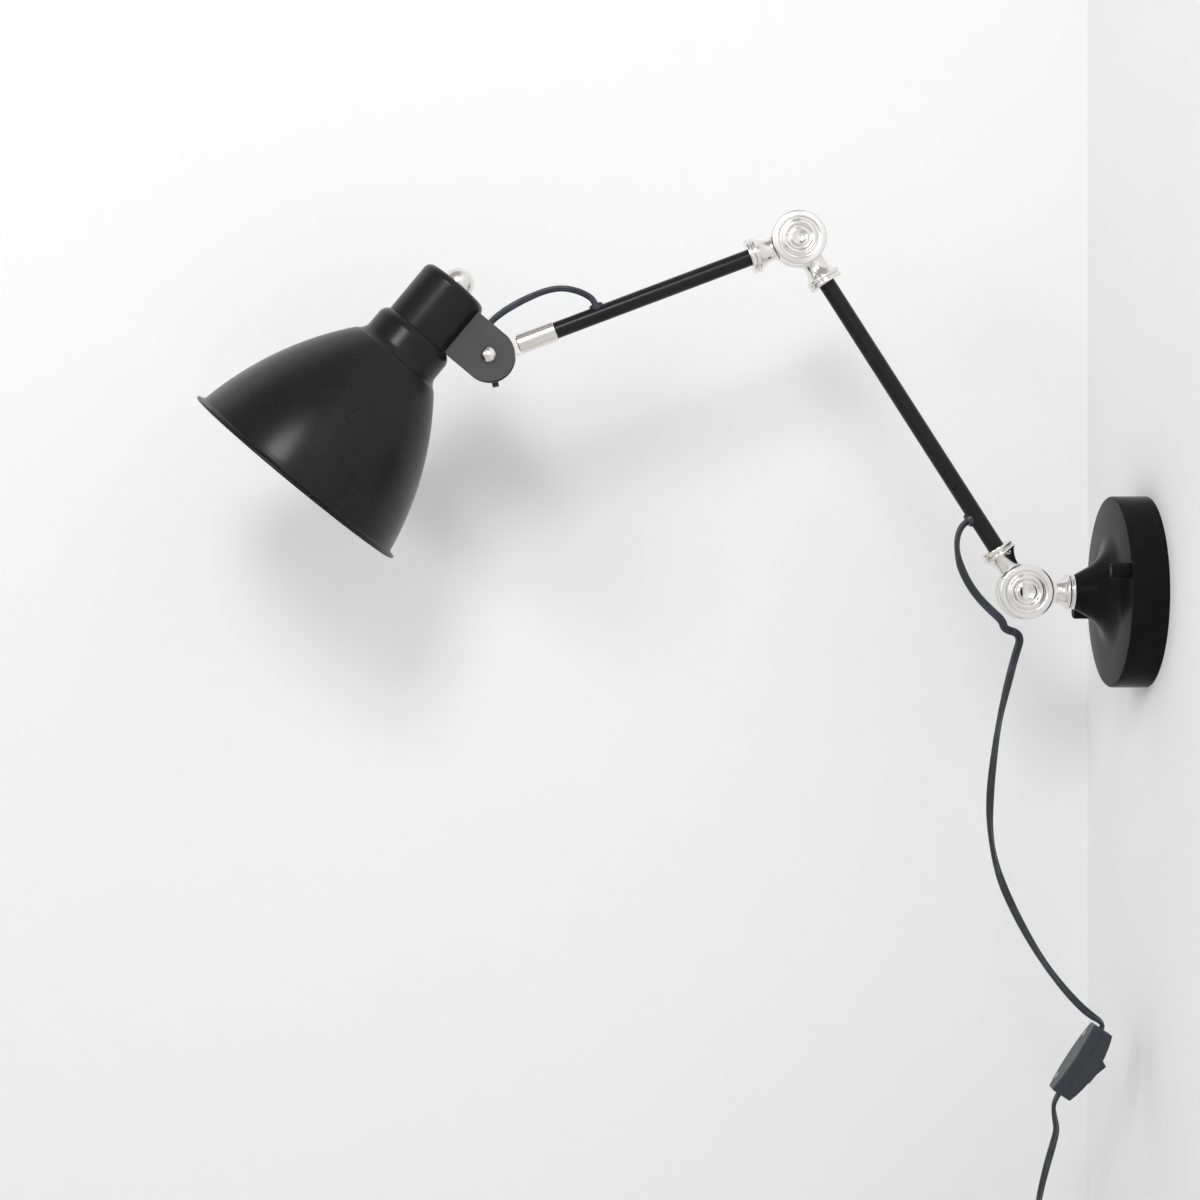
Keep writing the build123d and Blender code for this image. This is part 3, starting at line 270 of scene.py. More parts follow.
# ---- node helpers
class Nodes:
    """A node tree with short ways to add and join nodes."""

    COLOUR_A, COLOUR_B, COLOUR_OUT = 6, 7, 2

    def __init__(self, tree: Tree) -> None:
        """Keep the tree."""
        self.tree = tree

    @classmethod
    def cleared(cls, owner: bpy.types.ID) -> "Nodes":
        """Emptied node tree of a material or world."""
        owner.use_nodes = True
        owner.node_tree.nodes.clear()
        return cls(owner.node_tree)

    def add(self, kind: str, inputs: Optional[dict] = None, **values: object) -> Node:
        """Add a node, set its properties and feed its inputs.

        Args:
            kind: the node's type name.
            inputs: a number, colour or socket for each input, by its name or number.
            **values: properties of the node.

        Returns:
            The node.
        """
        node = self.tree.nodes.new(kind)
        for name, value in values.items():
            setattr(node, name, value)
        for key, value in (inputs or {}).items():
            self.feed(node.inputs[key], value)
        return node

    def feed(self, target: Socket, value: object) -> None:
        """Link a socket to an input, or set the input's number or colour.

        Args:
            target: the input.
            value: a socket, number or colour.
        """
        if isinstance(value, Socket):
            self.tree.links.new(value, target)
        else:
            target.default_value = value

    def math(self, operation: str, first: object, second: object) -> Socket:
        """Result of a Math node on two numbers or sockets."""
        return self.add("ShaderNodeMath", {0: first, 1: second}, operation=operation).outputs[0]

    def vector(self, operation: str, *given: object) -> Socket:
        """Result of a Vector Math node: a number for a dot product or a length."""
        node = self.add("ShaderNodeVectorMath", dict(enumerate(given)), operation=operation)
        return node.outputs["Value" if operation in ("DOT_PRODUCT", "LENGTH") else "Vector"]

    def mix(self, share: object, first: object, second: object) -> Socket:
        """Colour between two colours.

        Args:
            share: the second colour's share.
            first: a socket or linear RGB.
            second: a socket or linear RGB.

        Returns:
            The mixed colour.
        """
        first, second = (c if isinstance(c, Socket) else (*c, 1.0) for c in (first, second))
        given = {"Factor": share, self.COLOUR_A: first, self.COLOUR_B: second}
        return self.add("ShaderNodeMix", given, data_type="RGBA").outputs[self.COLOUR_OUT]

    def remap(self, value: object, span: Pair, to: Pair = (0.0, 1.0)) -> Socket:
        """A value mapped from one span to another, clamped."""
        return self.add("ShaderNodeMapRange", dict(enumerate((value, *span, *to)))).outputs[0]

    def noise(self, where: Socket, scale: object, detail: float) -> Socket:
        """Value of a noise texture at a place."""
        given = {"Vector": where, "Scale": scale, "Detail": detail}
        return self.add("ShaderNodeTexNoise", given).outputs["Fac"]

    def group(self, tree: Tree, place: Socket, **numbers: float) -> bpy.types.NodeOutputs:
        """Outputs of a shared node group with its own numbers."""
        return self.add("ShaderNodeGroup", {"Place": place, **numbers}, node_tree=tree).outputs


def add_socket(tree: Tree, title: str, kind: str,
               way: str = "INPUT") -> bpy.types.NodeTreeInterfaceSocket:
    """Add a named input or output to a node group."""
    return tree.interface.new_socket(title, in_out=way, socket_type="NodeSocket" + kind)


def shader_group(name: str, inputs: dict[str, float],
                 outputs: Sequence[str]) -> tuple[Nodes, bpy.types.NodeOutputs]:
    """Start a shader node group of numbers, with a place as its first input.

    Args:
        name: the group's name.
        inputs: names and default values of the number inputs.
        outputs: names of the number outputs.

    Returns:
        The node helper and the sockets that bring the inputs.
    """
    tree = bpy.data.node_groups.new(name, "ShaderNodeTree")
    add_socket(tree, "Place", "Vector")
    for title, value in inputs.items():
        add_socket(tree, title, "Float").default_value = value
    for title in outputs:
        add_socket(tree, title, "Float", "OUTPUT")
    book = Nodes(tree)
    return book, book.add("NodeGroupInput").outputs


class Effects:
    """Node groups that several finishes share."""

    PATCH_SPAN = (0.3, 0.7)
    EDGE_SPAN = (0.995, 0.90)
    BREAK_SPAN = (0.45, 0.65)
    UPWARD_SPAN = (0.2, 1.0)
    SPECK_SPAN = (0.52, 0.75)

    def __init__(self) -> None:
        """Build the groups once."""
        self.grain, self.wear, self.dust = self._grain(), self._wear_and_highlight(), self._dust()

    def _grain(self) -> Tree:
        """Fine orange peel or cast grain, with slow patches for colour.

        Returns:
            The group.
        """
        numbers = {"Scale": 900.0, "Patch Scale": 25.0}
        book, given = shader_group("surface_grain", numbers, ("Height", "Patch"))
        fine = book.noise(given["Place"], given["Scale"], detail=3.0)
        slow = book.noise(given["Place"], given["Patch Scale"], detail=5.0)
        book.add("NodeGroupOutput", {"Height": fine, "Patch": book.remap(slow, self.PATCH_SPAN)})
        return book.tree

    def _wear_and_highlight(self) -> Tree:
        """Mask that is 1 on sharp edges, broken up by noise: edge wear and a painted edge
        highlight.

        Returns:
            The group.
        """
        numbers = {"Width": 0.0008, "Break Up": 180.0}
        book, given = shader_group("edge_wear_and_highlight", numbers, ("Mask",))
        bevel = book.add("ShaderNodeBevel", {"Radius": given["Width"]}, samples=4)
        plain = book.add("ShaderNodeNewGeometry")
        same = book.vector("DOT_PRODUCT", bevel.outputs["Normal"], plain.outputs["Normal"])
        noise = book.noise(given["Place"], given["Break Up"], detail=6.0)
        edge, broken = book.remap(same, self.EDGE_SPAN), book.remap(noise, self.BREAK_SPAN)
        book.add("NodeGroupOutput", {"Mask": book.math("MULTIPLY", edge, broken)})
        return book.tree

    def _dust(self) -> Tree:
        """Thin dust that lies on faces that look up.

        Returns:
            The group.
        """
        numbers = {"Speck Scale": 1400.0, "Amount": 0.5}
        book, given = shader_group("settled_dust", numbers, ("Mask",))
        plain = book.add("ShaderNodeNewGeometry")
        split = book.add("ShaderNodeSeparateXYZ", {0: plain.outputs["Normal"]})
        noise = book.noise(given["Place"], given["Speck Scale"], detail=2.0)
        upward = book.remap(split.outputs["Z"], self.UPWARD_SPAN)
        lying = book.math("MULTIPLY", upward, book.remap(noise, self.SPECK_SPAN))
        book.add("NodeGroupOutput", {"Mask": book.math("MULTIPLY", lying, given["Amount"])})
        return book.tree


# ---- finishes
def grey(value: float) -> Point:
    """Neutral colour."""
    return (value, value, value)


DUST_COLOUR = (0.32, 0.31, 0.29)
NICKEL_LOOK = dict(colour=(0.86, 0.84, 0.82), patch_colour=(0.80, 0.77, 0.74),
                   wear_and_highlight_colour=(0.95, 0.94, 0.92), metallic=1.0, dust=0.02)


@dataclass(frozen=True)
class Finish:
    """A surface finish, with colours in linear RGB.

    Subclasses add what is special to them in relief(), tint() and dress().
    """

    name: str
    colour: Point
    patch_colour: Point
    # Lighter colour on sharp edges: partly real wear, partly a painted edge highlight.
    wear_and_highlight_colour: Point = (0.2, 0.2, 0.2)
    roughness: Pair = (0.35, 0.45)
    metallic: float = 0.0
    specular: float = 0.5
    coat: float = 0.0
    coat_roughness: float = 0.1
    sheen: float = 0.0
    grain_scale: float = 900.0
    grain_depth: float = 0.00002
    wear: float = 0.3
    dust: float = 0.1

    def make(self, effects: Effects) -> Material:
        """Build the material.

        Args:
            effects: the shared node groups.

        Returns:
            The new material.
        """
        material = bpy.data.materials.new(self.name)
        book = Nodes.cleared(material)
        place = book.add("ShaderNodeTexCoord").outputs["Object"]
        grain = book.group(effects.grain, place, Scale=self.grain_scale)
        # Sharp edges are lightened: partly real wear, partly a painted highlight along the edges.
        worn_and_lit = book.math("MULTIPLY", book.group(effects.wear, place)["Mask"], self.wear)
        dusty = book.group(effects.dust, place, Amount=self.dust)["Mask"]
        colour = book.mix(grain["Patch"], self.colour, self.patch_colour)
        colour = book.mix(worn_and_lit, colour, self.wear_and_highlight_colour)
        colour = book.mix(dusty, colour, DUST_COLOUR)
        height = self.relief(book, place, grain["Height"])
        bump = book.add("ShaderNodeBump", {"Distance": self.grain_depth, "Height": height})
        surface = book.add("ShaderNodeBsdfPrincipled", {
            "Base Color": self.tint(book, place, colour),
            "Roughness": book.remap(grain["Patch"], (0.0, 1.0), self.roughness),
            "Normal": bump.outputs["Normal"],
            "Metallic": self.metallic,
            "Specular IOR Level": self.specular,
            "Coat Weight": self.coat,
            "Coat Roughness": self.coat_roughness,
            "Sheen Weight": self.sheen,
        })
        self.dress(book, surface, place)
        book.add("ShaderNodeOutputMaterial", {"Surface": surface.outputs[0]})
        return material

    def relief(self, book: Nodes, place: Socket, grain: Socket) -> Socket:
        """Height that the bump takes: the plain grain."""
        return grain

    def tint(self, book: Nodes, place: Socket, colour: Socket) -> Socket:
        """Last change of the colour: none."""
        return colour

    def dress(self, book: Nodes, surface: Node, place: Socket) -> None:
        """Add what is special to this finish: nothing here."""


@dataclass(frozen=True)
class TurnedMetal(Finish):
    """Plated metal turned about an axis along Y, with fine tool rings round it."""

    centre: Point = (0.0, 0.0, 0.0)
    anisotropy: float = 0.6
    ring_pitch: float = 0.00035
    ring_height: float = 0.12

    def _from_axis(self, book: Nodes, place: Socket) -> Socket:
        """Vector from the turning axis to the place, without its Y."""
        return book.vector("MULTIPLY", book.vector("SUBTRACT", place, self.centre), (1.0, 0.0, 1.0))

    def relief(self, book: Nodes, place: Socket, grain: Socket) -> Socket:
        """Rings of the turning tool, broken up by the grain.

        Args:
            book: the material's nodes.
            place: the object coordinates.
            grain: the plain grain's height.

        Returns:
            The height.
        """
        distance = book.vector("LENGTH", self._from_axis(book, place))
        turns = book.math("MULTIPLY", distance, 2 * math.pi / self.ring_pitch)
        rings = book.math("SINE", turns, 0.0)
        return book.math("ADD", book.math("MULTIPLY", rings, self.ring_height), grain)

    def dress(self, book: Nodes, surface: Node, place: Socket) -> None:
        """Stretch the gloss across the tool rings.

        Args:
            book: the material's nodes.
            surface: its shader.
            place: the object coordinates.
        """
        along = book.vector("CROSS_PRODUCT", self._from_axis(book, place), (0.0, 1.0, 0.0))
        book.feed(surface.inputs["Anisotropic"], self.anisotropy)
        book.feed(surface.inputs["Tangent"], book.vector("NORMALIZE", along))


@dataclass(frozen=True)
class DrawnMetal(Finish):
    """Metal with fine lines along one direction."""

    direction: Point = (0.0, 0.0, 1.0)
    line_scale: float = 2500.0
    pull: float = 0.985

    def relief(self, book: Nodes, place: Socket, grain: Socket) -> Socket:
        """Noise pulled out along the drawing direction.

        Args:
            book: the material's nodes.
            place: the object coordinates.
            grain: the plain grain's height, which isn't used.

        Returns:
            The height.
        """
        way = tuple(Vector(self.direction).normalized())
        back = book.math("MULTIPLY", book.vector("DOT_PRODUCT", place, way), -self.pull)
        given = {0: way, "Scale": back}
        pulled = book.add("ShaderNodeVectorMath", given, operation="SCALE").outputs[0]
        return book.noise(book.vector("ADD", place, pulled), self.line_scale, detail=2.0)


@dataclass(frozen=True)
class Sheath(Finish):
    """Soft cord sheath with slow scuffs and a bluish bloom."""

    bloom: Point = (0.06, 0.075, 0.11)
    scuff_scale: float = 60.0
    scuff_span: Pair = (0.5, 0.72)
    scuff_most: float = 0.6

    def tint(self, book: Nodes, place: Socket, colour: Socket) -> Socket:
        """Bluish scuffs in slow patches."""
        slow = book.noise(place, self.scuff_scale, detail=6.0)
        scuffs = book.remap(slow, self.scuff_span, (0.0, self.scuff_most))
        return book.mix(scuffs, colour, self.bloom)


class Finishes:
    """Every finish of the lamp, by slot, and the nickel that turns about each knuckle's axis."""

    def __init__(self, effects: Effects) -> None:
        """Build all materials.

        Args:
            effects: the shared node groups.
        """
        nickel = dict(NICKEL_LOOK, roughness=(0.14, 0.19), grain_scale=1500.0,
                      grain_depth=0.000002, wear=0.1)
        self.base_nickel, self.elbow_nickel, self.head_nickel = (
            TurnedMetal(f"nickel_{part}", centre=tuple(centre), anisotropy=stretch,
                        **nickel).make(effects)
            for part, centre, stretch in (("base", LAYOUT.base_hinge, 0.6),
                                          ("elbow", LAYOUT.elbow, 0.6),
                                          ("head", LAYOUT.head_pivot, 0.2)))
        self.neck_nickel = Finish("nickel_neck", **nickel).make(effects)
        self.by_slot = {finish.name: finish.make(effects) for finish in self._plain()}

    @staticmethod
    def _plain() -> list[Finish]:
        """The finishes that need no centre.

        Returns:
            One finish for each slot.
        """
        paint = dict(wear_and_highlight_colour=grey(0.08), grain_scale=1500.0)
        gritty = dict(grain_scale=2200.0, wear=0.4)
        return [
            Finish(Slot.BLACK_SATIN.value, (0.0075, 0.0075, 0.0078), (0.0095, 0.0095, 0.0098),
                   roughness=(0.26, 0.32), specular=0.24, grain_depth=0.000012, wear=0.35, **paint),
            Finish(Slot.BLACK_GLOSS.value, (0.0075, 0.0075, 0.008), (0.010, 0.010, 0.0105),
                   roughness=(0.20, 0.28), specular=0.03, grain_depth=0.000004, **paint),
            DrawnMetal(Slot.ZINC.value, (0.60, 0.60, 0.58), (0.52, 0.52, 0.50),
                       (0.75, 0.75, 0.74), (0.28, 0.4), metallic=1.0, dust=0.05),
            DrawnMetal(Slot.NICKEL.value, roughness=(0.18, 0.26), grain_depth=0.000008,
                       direction=tuple(polar(LAYOUT.upper_angle)), **NICKEL_LOOK),
            Finish(Slot.WASHER.value, grey(0.02), grey(0.03), roughness=(0.5, 0.6), specular=0.3),
            DrawnMetal(Slot.BRACKET.value, (0.055, 0.055, 0.056), (0.070, 0.070, 0.071),
                       grey(0.22), (0.48, 0.60), specular=0.3, line_scale=1200.0, wear=0.5,
                       direction=tuple(polar(LAYOUT.shade_angle)), dust=0.06),
            Finish(Slot.WING.value, grey(0.008), grey(0.012)),
            Finish(Slot.GROMMET.value, (0.012, 0.014, 0.020), (0.020, 0.022, 0.030),
                   (0.05, 0.06, 0.08), (0.22, 0.32), specular=0.6, grain_scale=600.0),
            Sheath(Slot.CORD.value, (0.0085, 0.0095, 0.014), (0.014, 0.016, 0.024),
                   (0.05, 0.06, 0.08), (0.26, 0.36), specular=0.55, sheen=0.15,
                   grain_scale=1200.0, grain_depth=0.00001, wear=0.1, dust=0.04),
            Finish(Slot.TIE.value, grey(0.016), grey(0.024), roughness=(0.4, 0.5)),
            Finish(Slot.SWITCH.value, (0.021, 0.023, 0.031), (0.027, 0.030, 0.040),
                   (0.07, 0.08, 0.10), (0.30, 0.40), dust=0.08, **gritty),
            Finish(Slot.PLUG.value, (0.0105, 0.0115, 0.015), (0.015, 0.016, 0.021),
                   (0.06, 0.06, 0.07), (0.36, 0.46), **gritty),
            DrawnMetal(Slot.CONTACTS.value, (0.80, 0.60, 0.30), (0.70, 0.50, 0.24),
                       (0.9, 0.75, 0.45), (0.22, 0.34), metallic=1.0, grain_depth=0.00001,
                       dust=0.02),
            Finish(Slot.PORCELAIN.value, (0.78, 0.77, 0.73), (0.74, 0.73, 0.69),
                   (0.8, 0.8, 0.78), (0.12, 0.2), coat=0.5, grain_scale=200.0, dust=0.02),
        ]

    def of(self, slot: Slot) -> Material:
        """The finish of a slot."""
        return self.by_slot[slot.value]

    def dress_nodes(self, nodes: dict[str, Piece]) -> None:
        """Give every CAD node the finish of its own slot, and the knuckles their own nickel.

        Args:
            nodes: the CAD nodes by name, each with one material named after its slot.
        """
        own = {"base": self.base_nickel, "lower_arm_knuckle": self.base_nickel,
               "lower_arm_set": self.base_nickel, "elbow": self.elbow_nickel,
               "head_pivot": self.head_nickel}
        for name, node in nodes.items():
            slot = node.data.materials[0].name.split(".")[0]
            finish = self.by_slot[slot]
            if slot == Slot.NICKEL.value:
                centred = [made for start, made in own.items() if name.startswith(start)]
                finish = centred[0] if centred else finish
            node.data.materials[0] = finish


# ---- geometry trees
class Profile:
    """Half section of a turned piece, as (radius, height) points joined by lines and arcs."""

    def __init__(self, radius: float, height: float) -> None:
        """Start at a point."""
        self.points = [Vector((radius, height))]

    def line(self, radius: float, height: float) -> "Profile":
        """Go straight to a point."""
        self.points.append(Vector((radius, height)))
        return self

    def straight(self, *places: Pair) -> "Profile":
        """Go straight to each of some points in millimetres."""
        self.points += [Vector(place) * MM for place in places]
        return self

    def arc(self, heading: Vector, radius: float, angle: float, steps: int = 24) -> Vector:
        """Go round an arc that leaves along a heading and turns left.

        Args:
            heading: unit tangent where the arc starts.
            radius: the arc's radius.
            angle: turn in degrees.
            steps: chords in the arc.

        Returns:
            The heading at the arc's end.
        """
        left = Vector((-heading.y, heading.x))
        centre = self.points[-1] + left * radius
        for step in range(1, steps + 1):
            turn = Matrix.Rotation(math.radians(angle) * step / steps, 2)
            self.points.append(centre + turn @ (-left * radius))
        return Matrix.Rotation(math.radians(angle), 2) @ heading

    def via(self, middle: Pair, end: Pair, steps: int = 10) -> "Profile":
        """Go round the arc through a middle point to an end point, all in millimetres.

        Args:
            middle: a point on the arc.
            end: where the arc ends.
            steps: chords in the arc.

        Returns:
            This profile.
        """
        a, b, c = self.points[-1], Vector(middle) * MM, Vector(end) * MM
        ab, ac = b - a, c - a
        cross = 2 * (ab.x * ac.y - ab.y * ac.x)
        off = Vector((ac.y * ab.length_squared - ab.y * ac.length_squared,
                      ab.x * ac.length_squared - ac.x * ab.length_squared)) / cross
        centre = a + off
        first = math.atan2(-off.y, -off.x)
        turn = (math.atan2(c.y - centre.y, c.x - centre.x) - first) % (2 * math.pi)
        if cross < 0:
            turn -= 2 * math.pi
        for step in range(1, steps + 1):
            angle = first + turn * step / steps
            self.points.append(centre + Vector((math.cos(angle), math.sin(angle))) * off.length)
        return self

    def bow(self, radius: float, height: float, rise: float, steps: int = 8) -> "Profile":
        """Go to a point on a shallow arc.

        Args:
            radius: the end point's radius.
            height: the end point's height.
            rise: how far the arc stands off its chord, positive to the left.
            steps: chords in the arc.

        Returns:
            This profile.
        """
        start, end = self.points[-1].copy(), Vector((radius, height))
        chord = end - start
        off = Vector((-chord.y, chord.x)).normalized() * rise
        for step in range(1, steps + 1):
            share = step / steps
            self.points.append(start + chord * share + off * 4 * share * (1 - share))
        return self


class PieceTree:
    """Geometry Nodes with named inputs, which make a source object into a plain mesh piece."""

    NAME = ""
    INPUTS: dict[str, str] = {}

    def __init__(self) -> None:
        """Build the tree with its named inputs."""
        self.tree = bpy.data.node_groups.new(self.NAME, "GeometryNodeTree")
        add_socket(self.tree, "Geometry", "Geometry")
        self.keys = {title: add_socket(self.tree, title, kind).identifier
                     for title, kind in self.INPUTS.items()}
        add_socket(self.tree, "Geometry", "Geometry", "OUTPUT")
        book = Nodes(self.tree)
        book.add("NodeGroupOutput", {0: self._build(book, book.add("NodeGroupInput").outputs)})

    def _build(self, book: Nodes, given: bpy.types.NodeOutputs) -> Socket:
        """Add the nodes between the group's input and output: none here."""
        return given[0]

    def bake(self, name: str, source: Piece, place: Matrix, values: dict[str, object]) -> Piece:
        """Run a source object through the tree.

        Args:
            name: the piece's name.
            source: the object that the tree starts from, which is removed.
            place: matrix that moves the mesh to the model's frame.
            values: the tree's inputs by title.

        Returns:
            The finished piece, at the origin.
        """
        modifier = source.modifiers.new(self.NAME, "NODES")
        modifier.node_group = self.tree
        for title, value in values.items():
            modifier[self.keys[title]] = value
        mesh = evaluated_mesh(source)
        mesh.transform(place)
        source.modifiers.remove(modifier)
        bpy.data.objects.remove(source)
        piece = add_object(name, mesh)
        face_outwards(piece)
        return piece


class TurningTree(PieceTree):
    """Turns a profile curve about its axis, merges the poles and shades it."""

    NAME = "turned_piece"
    INPUTS = {"Segments": "Int", "Sharp Angle": "Float", "Finish": "Material"}
    CORE = 0.001
    MERGE = 2e-6
    SHARP = 32.0

    def _build(self, book: Nodes, given: bpy.types.NodeOutputs) -> Socket:
        """Sweep the profile round a small circle.

        Args:
            book: the tree's nodes.
            given: the group's inputs.

        Returns:
            The finished geometry.
        """
        circle = book.add("GeometryNodeCurvePrimitiveCircle",
                          {"Resolution": given["Segments"], "Radius": self.CORE})
        swept = book.add("GeometryNodeCurveToMesh",
                         {"Curve": circle.outputs["Curve"], "Profile Curve": given["Geometry"]})
        merged = book.add("GeometryNodeMergeByDistance",
                          {"Geometry": swept.outputs[0], "Distance": self.MERGE})
        rounded = book.add("GeometryNodeSetShadeSmooth", {"Geometry": merged.outputs[0]})
        angle = book.add("GeometryNodeInputMeshEdgeAngle").outputs["Unsigned Angle"]
        creased = book.add("FunctionNodeCompare", {0: angle, 1: given["Sharp Angle"]},
                           data_type="FLOAT", operation="GREATER_THAN")
        edges = book.add("GeometryNodeSetShadeSmooth", {
            "Geometry": rounded.outputs[0], "Selection": creased.outputs[0],
            "Shade Smooth": False}, domain="EDGE")
        painted = book.add("GeometryNodeSetMaterial",
                           {"Geometry": edges.outputs[0], "Material": given["Finish"]})
        return book.add("GeometryNodeRealizeInstances", {0: painted.outputs[0]}).outputs[0]

    def turn(self, name: str, profile: Profile, place: Matrix, finish: Material,
             segments: int, closed: bool = True) -> Piece:
        """Turn a profile into a finished mesh.

        Args:
            name: the piece's name.
            profile: the half section.
            place: matrix from the turning frame to the model's frame.
            finish: the piece's material.
            segments: facets round the axis.
            closed: whether the profile's end joins its start.

        Returns:
            The piece, with its place in its mesh.
        """
        points = [(point.x - self.CORE, -point.y, 0.0) for point in profile.points]
        source = add_spline(name + "_profile", "POLY", points)
        source.data.splines[0].use_cyclic_u = closed
        return self.bake(name, source, place, {
            "Segments": segments, "Sharp Angle": math.radians(self.SHARP), "Finish": finish})


class PlacingTree(PieceTree):
    """Sets copies of one piece on points, turned alike."""

    NAME = "placed_copies"
    INPUTS = {"Piece": "Object", "Turn": "Vector", "Finish": "Material"}

    def _build(self, book: Nodes, given: bpy.types.NodeOutputs) -> Socket:
        """Put the piece on each point of the source's mesh.

        Args:
            book: the tree's nodes.
            given: the group's inputs.

        Returns:
            The finished geometry.
        """
        spots = book.add("GeometryNodeMeshToPoints", {"Mesh": given["Geometry"]})
        info = book.add("GeometryNodeObjectInfo", {"Object": given["Piece"]})
        turn = book.add("FunctionNodeEulerToRotation", {0: given["Turn"]})
        copies = book.add("GeometryNodeInstanceOnPoints", {
            "Points": spots.outputs[0], "Instance": info.outputs["Geometry"],
            "Rotation": turn.outputs[0]})
        real = book.add("GeometryNodeRealizeInstances", {0: copies.outputs[0]})
        painted = book.add("GeometryNodeSetMaterial",
                           {"Geometry": real.outputs[0], "Material": given["Finish"]})
        return painted.outputs[0]

    def place(self, name: str, pattern: Piece, spots: Sequence[Vector], turn: Matrix,
              finish: Material) -> Piece:
        """Set copies of a piece on spots and bake them to one mesh.

        Args:
            name: the new piece's name.
            pattern: the piece to copy, made at the origin, which is removed.
            spots: where the copies go.
            turn: how each copy is turned.
            finish: the material of the copies.

        Returns:
            The piece, with all copies in its mesh.
        """
        cloud = bpy.data.meshes.new(name + "_spots")
        cloud.from_pydata([tuple(spot) for spot in spots], [], [])
        made = self.bake(name, add_object(name + "_spots", cloud), Matrix.Identity(4), {
            "Piece": pattern, "Turn": tuple(turn.to_euler()), "Finish": finish})
        bpy.data.objects.remove(pattern)
        return made


@dataclass
class Workshop:
    """What every sub-assembly needs: finishes and the two geometry trees."""

    finishes: Finishes
    turning: TurningTree
    placing: PlacingTree


# ---- canopy
@dataclass
class Canopy:
    """Spun wall cover with a cone that runs into its face, and its two cap nuts."""

    shop: Workshop
    radius: float = 0.0592
    rim: float = 0.0220
    wall: float = 0.0014
    tip_radius: float = 0.0108
    cone_length: float = 0.0077
    cone_angle: float = 29.2
    flare_radius: float = 0.026
    depth: float = 0.0435
    bore: float = 0.00525
    edge: float = 0.0015
    least_edge: float = 0.0001
    edge_bow: float = 0.3
    stud_circle: float = 0.0515
    stud_tilt: float = 14.0
    nut_radius: float = 0.00465
    nut_length: float = 0.0106
    nut_seat: float = 0.0226
    nut_edge: float = 0.0012
    nut_face: float = 0.0016
    nut_dip: float = 0.0003

    def _skin(self, profile: Profile, inset: float) -> None:
        """Run a profile from the tip over the cone and the flare to the rim's edge.

        Args:
            profile: the profile, which ends at the tip.
            inset: how far inside the outer face it runs.
        """
        slope = math.radians(90 - self.cone_angle)
        heading = Vector((math.cos(slope), -math.sin(slope)))
        end = Vector((self.tip_radius, self.depth)) + heading * (self.cone_length / math.sin(slope))
        end -= Vector((math.sin(slope), math.cos(slope))) * inset
        profile.line(*end)
        profile.arc(heading, self.flare_radius + inset, math.degrees(slope))
        corner = max(self.edge - inset, self.least_edge)
        rim = self.radius - inset
        profile.line(rim - corner, self.rim - inset)
        profile.bow(rim, self.rim - inset - corner, self.edge_bow * corner)
        profile.line(rim, 0.0)

    def make(self) -> None:
        """Make the cover and the nuts."""
        outer = Profile(self.bore, self.depth).line(self.tip_radius, self.depth)
        self._skin(outer, 0.0)
        inner = Profile(self.bore, self.depth - self.wall)
        self._skin(inner, self.wall)
        outer.points += inner.points[::-1]
        place = axes_along(Vector((0.0, 0.0, 0.0)), Vector((-1.0, 0.0, 0.0)))
        gloss = self.shop.finishes.of(Slot.BLACK_GLOSS)
        cover = self.shop.turning.turn("canopy_cover", outer, place, gloss, segments=192)
        settle(cover, Body.WALL, Slot.BLACK_GLOSS, "canopy")
        self._cap_nuts(place, gloss)

    def _cap_nuts(self, place: Matrix, finish: Material) -> None:
        """Two turned cap nuts with a rounded end, on the studs.

        Args:
            place: matrix from the turning frame to the model's frame.
            finish: their paint.
        """
        body, top, edge = self.nut_radius, self.nut_length, self.nut_edge
        shape = Profile(0.0, 0.0).line(body, 0.0).line(body, top - edge)
        shape.bow(body - edge, top, -self.nut_dip, 6)
        shape.line(body - self.nut_face, top - self.nut_dip).line(0.0, top - self.nut_dip)
        pattern = self.shop.turning.turn("cap_nut_pattern", shape, Matrix.Identity(4), finish,
                                         segments=48, closed=False)
        up = self.stud_circle * math.sin(math.radians(self.stud_tilt))
        side = self.stud_circle * math.cos(math.radians(self.stud_tilt))
        spots = [Vector((-self.nut_seat, -side, up)), Vector((-self.nut_seat, side, -up))]
        turn = place.to_3x3()
        nuts = self.shop.placing.place("cap_nut_pair", pattern, spots, turn, finish)
        settle(nuts, Body.WALL, Slot.BLACK_GLOSS, "cap_nuts")


